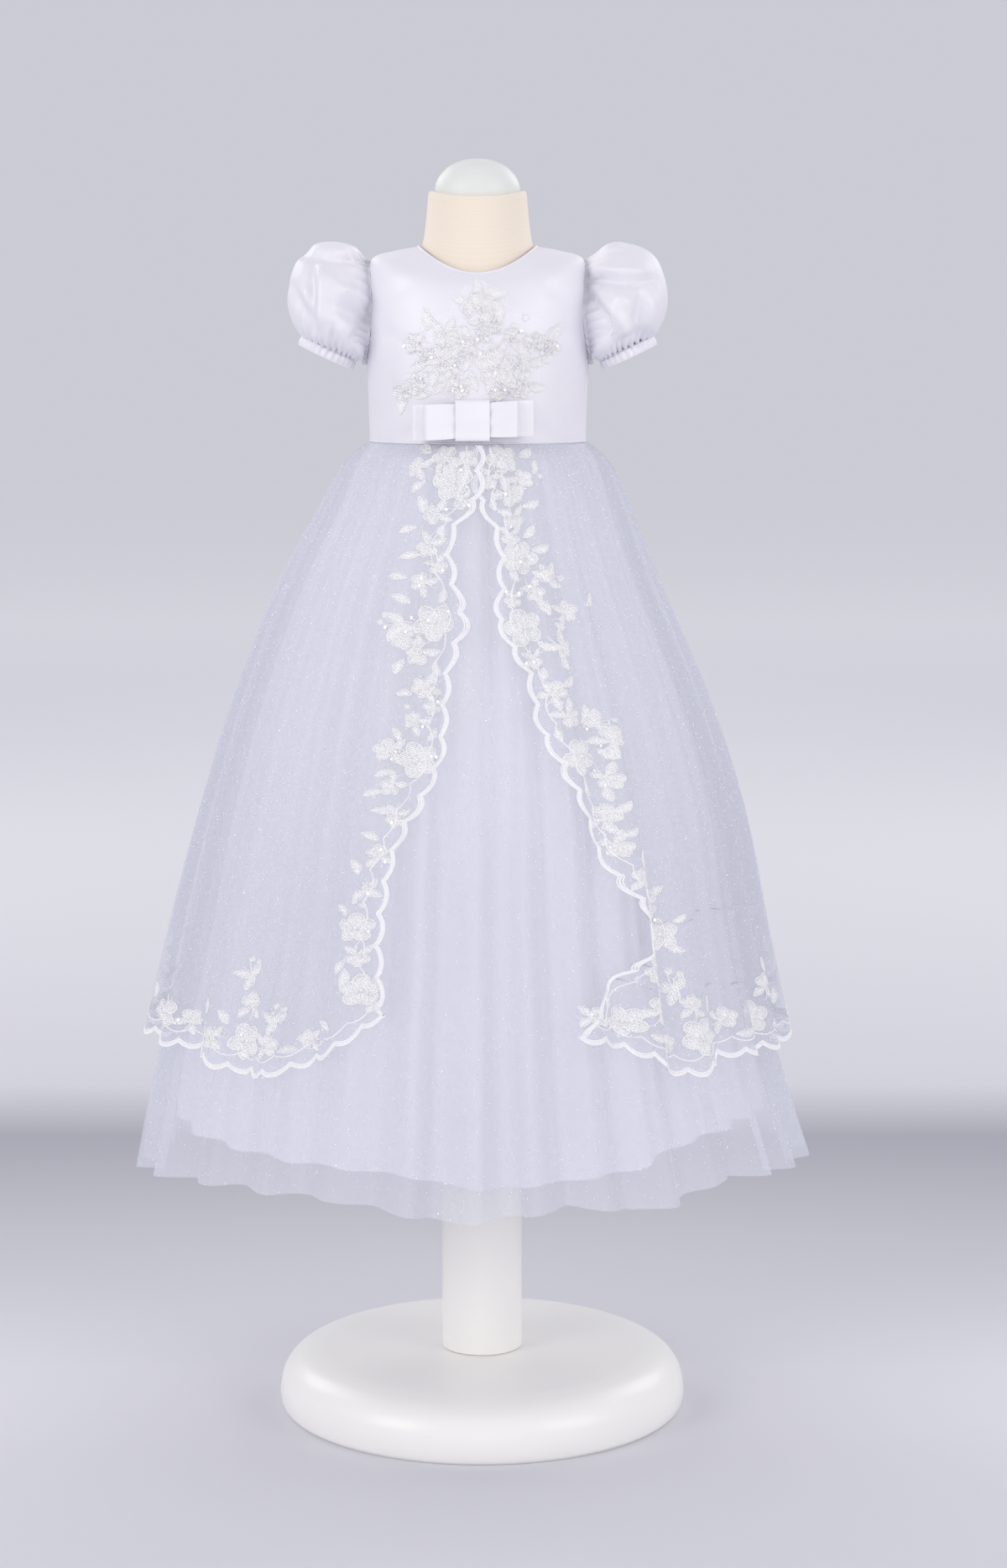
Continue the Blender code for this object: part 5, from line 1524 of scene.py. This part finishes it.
def disc(segments, thick):
    """A thin flat disc with its axis outwards."""
    turn = np.linspace(0, 2 * np.pi, segments, endpoint=False)
    rim = np.column_stack([np.cos(turn), np.sin(turn)])
    points = np.concatenate([np.column_stack([rim, 0 * turn + z]) for z in (thick, -thick)])
    ends = [list(range(segments)), list(range(2 * segments - 1, segments - 1, -1))]
    return points, quads(numbers(2, segments, True)).tolist() + ends


def add_trims(name, template, faces, places, outward, size, tilt, material, slot, sharp=40.0):
    """All trims of one kind as one piece."""
    points, every = small_shapes(template, faces, places, outward, size, tilt)
    piece = recalculated(add_mesh(name, points, every, material, sharp=sharp))
    return finish_piece(piece, slot)


def scattered(table, per_motif, surface):
    """Random spots on every motif of a table but single leaves and buds."""
    rows = [row for row in table if row[0] in ("flower", "blossom", "spray")]
    along, up, size = (np.array([row[k] for row in rows])[:, None] for k in (1, 2, 3))
    turn = 2 * np.pi * random.random((len(rows), per_motif))
    reach = size * np.sqrt(random.random((len(rows), per_motif)))
    u, v = reach * np.cos(turn), reach * np.sin(turn)
    low, high = (surface(along + 0 * turn, up + 0 * turn, u, v, height + 0 * turn)
                 for height in (0.0008, 0.0018))
    return low.reshape(-1, 3), unit((high - low).reshape(-1, 3))


def centres(table, surface):
    """The middle of every flower of a table."""
    rows = [row for row in table if row[0] == "flower"]
    along, up = (np.array([row[k] for row in rows]) for k in (1, 2))
    low, high = (surface(along, up, 0 * along, 0 * along, height + 0 * along)
                 for height in (0.0010, 0.0020))
    return low, unit(high - low)


surfaces = [(BODICE_MOTIFS, bodice_surface)]
for side in (1, -1):
    surfaces += [(FRONT_MOTIFS[side], front_surface(side)), (hem_table(side), hem_surface(side))]
middles = [centres(*pair) for pair in surfaces]
pearl_places, pearl_outward = (np.concatenate([pair[k] for pair in middles]) for k in (0, 1))
add_trims("pearls", *ball(10, 6), pearl_places, pearl_outward, PEARL, 0.0, pearl, "lace", 80.0)

seeds = scattered(BODICE_MOTIFS, 9, bodice_surface)
add_trims("seed_beads", *ball(6, 3), *seeds, SEED_BEAD, 0.0, pearl, "lace", 80.0)
discs = [scattered(BODICE_MOTIFS, 7, bodice_surface)]
discs += [scattered(table, 4, surface) for table, surface in surfaces[1:]]
disc_places, disc_outward = (np.concatenate([pair[k] for pair in discs]) for k in (0, 1))
add_trims("sequins", *disc(8, 0.10), disc_places, disc_outward, SEQUIN, 0.25, sequin, "lace")

# %% Glitter
FLAKE_LIFT = 0.0003
# A flake is a flat octahedron, 0.9 mm across and so larger than a real one, so that it shows
FLAKE = np.array([[1, 0, 0], [-1, 0, 0], [0, 1, 0], [0, -1, 0], [0, 0, 0.4], [0, 0, -0.4]], float)
FLAKE_FACES = [[0, 2, 4], [2, 1, 4], [1, 3, 4], [3, 0, 4], [2, 0, 5], [1, 2, 5], [3, 1, 5], [0, 3, 5]]


def glitter_on(count, side):
    """Seeded random spots on one side of the overskirt's outer face, or on the net skirt for side 0."""
    degrees = side * random.uniform(0, 180, count) if side else random.uniform(-180, 180, count)
    share = np.sqrt(random.uniform(0.02, 1, count))
    bottom = hem_tip(degrees) + 0.006 if side else np.interp(degrees, *np.array(NET_HEM, float).T)
    level = SKIRT[0][0] + (bottom - SKIRT[0][0]) * share
    if side:
        keep = side * degrees > side * front_edge(level, side) + lace_turn(level, 0.006)
        degrees, level = degrees[keep], level[keep]
        place = over_point(level, degrees, side, FLAKE_LIFT + 0 * level)
        return place, over_normals(level, np.radians(degrees), side)
    angle = np.radians(degrees)
    normal = skirt_normals(lambda z, turn: skirt(z, turn, "net"), level, angle)
    return skirt(level, angle, "net") + FLAKE_LIFT * normal, normal


for name, count, side in (("glitter_left", FLAKES_OVER, 1), ("glitter_right", FLAKES_OVER, -1),
                          ("glitter_net", FLAKES_NET, 0)):
    spots, outward = glitter_on(count, side)
    add_trims(name, FLAKE, FLAKE_FACES, spots, outward, FLAKE_HALF, 0.7, flake, "glitter_net", 5.0)

# %% [markdown]
# ## The bow
#
# A tailored bow of flat double satin ribbon: two tiers of loops, the front one shorter, and a ribbon
# round their middle. A loop is the ribbon's section carried over its width. Its plan is a flat ring
# that opens towards the ends, and the band pinches it in a little.

# %% Bow
# Left end, right end, distance off the bodice at the middle and at the ends, half opening of the loops
BOW_TIERS = {
    "bow_back": (-0.0512, 0.0399, 0.0030, 0.0066, 0.0020),
    "bow_front": (-0.0417, 0.0280, 0.0060, 0.0122, 0.0026),
}
BOW_MIDDLE, BOW_TILT, BOW_CREASE = 0.7771, 0.04, 0.0006
RIBBON_HALF, RIBBON, BOW_FLATNESS = 0.0132, 0.0008, 0.45
BOW_BAND, BAND_OFF, BAND_ROOM, BAND_SQUARE = (-0.0187, 0.0068), (0.0013, 0.0101), 0.0012, 0.2
BOW_ROW = 0.55            # the bow's place among the bodice's rows
PINCH_START, PINCH_FADE, PINCH_FOLD, PINCH = 0.0128, 0.0045, 0.00035, 0.05


def bow_line(across, stand_off):
    """Plan points in front of the bodice at the bow's height; the bow is flatter than the bodice."""
    half, depth = smooth(BODICE, np.array(BOW_ROW))[[0, 2]]
    drop = depth * (1 - np.sqrt(1 - np.clip((across - BODY_X) / half, -1, 1) ** 2))
    return -depth - stand_off + (1 - BOW_FLATNESS) * drop


def outward_normals(points):
    """Normals of a flat ring of ribbon, all of them turned if they point inwards on the whole."""
    normal = grid_normals(points, True)
    middle = points.mean(axis=1, keepdims=True)
    return normal * np.sign(np.sum(normal * (points - middle)))


def bow_loops(name, left, right, middle_off, end_off, gap):
    """One tier: a flat ring in plan, pinched at its middle, with soft folds beside the band."""
    turn = np.linspace(0, 2 * np.pi, 160, endpoint=False)
    share = np.cos(turn)
    centre = (BOW_BAND[0] + BOW_BAND[1]) / 2
    across = centre + np.where(share > 0, right - centre, centre - left) * share
    away = np.abs(share)
    opening = (BOW_CREASE + (gap - BOW_CREASE) * away) * np.clip(np.sin(turn) * 3, -1, 1)
    beside = np.exp(-np.clip(np.abs(across - centre) - PINCH_START, 0, 1) / PINCH_FADE)
    rows = np.linspace(-1, 1, 15)[:, None]
    fold = PINCH_FOLD * beside * np.cos(7.0 * rows + 0.8 * np.sign(share))
    stand_off = middle_off + (end_off - middle_off) * away ** 1.5 + opening + fold * (np.sin(turn) > 0)
    y = bow_line(across, stand_off)
    x = np.broadcast_to(across, y.shape)
    tall = RIBBON_HALF * (1 - PINCH * beside) * rows
    points = np.stack([x, y, BOW_MIDDLE + tall + BOW_TILT * (across - centre)], -1)
    normal = outward_normals(points)
    points = points + 0.5 * RIBBON * normal
    loop = cloth(name + "_ribbon", points, normal, RIBBON, ribbon_satin, True)
    finish_piece(loop, "satin", name)


for name, sizes in BOW_TIERS.items():
    bow_loops(name, *sizes)

turn = np.linspace(0, 2 * np.pi, 72, endpoint=False)
across = np.linspace(*BOW_BAND, 25)[:, None]
away = np.sign(np.cos(turn)) * np.abs(np.cos(turn)) ** BAND_SQUARE
high = np.sign(np.sin(turn)) * np.abs(np.sin(turn)) ** BAND_SQUARE
off = sum(BAND_OFF) / 2 + ((BAND_OFF[1] - BAND_OFF[0]) / 2 + 0.6 * RIBBON) * away
tall = (RIBBON_HALF + BAND_ROOM + RIBBON) * high
y = bow_line(across, off) + 0 * across
band_points = np.stack([across + 0 * y, y, BOW_MIDDLE + tall + 0 * y], -1)
band = cloth("bow_band_ribbon", band_points, outward_normals(band_points), RIBBON, ribbon_satin, True)
finish_piece(band, "satin", "bow_band")

# %% [markdown]
# ## Waist seam
#
# The skirts are sewn to the bodice at the waist, and the seam shows as a narrow roll of satin.

# %% Waist seam
waist_angle = np.linspace(0, 2 * np.pi, 240, endpoint=False)
waist_path = bodice(np.full(240, 0.0), waist_angle) + (0, 0, 0.0004)
roll("waist_seam", waist_path, bodice_normals(np.full(240, 0.02), waist_angle), WAIST_ROLL, 6)
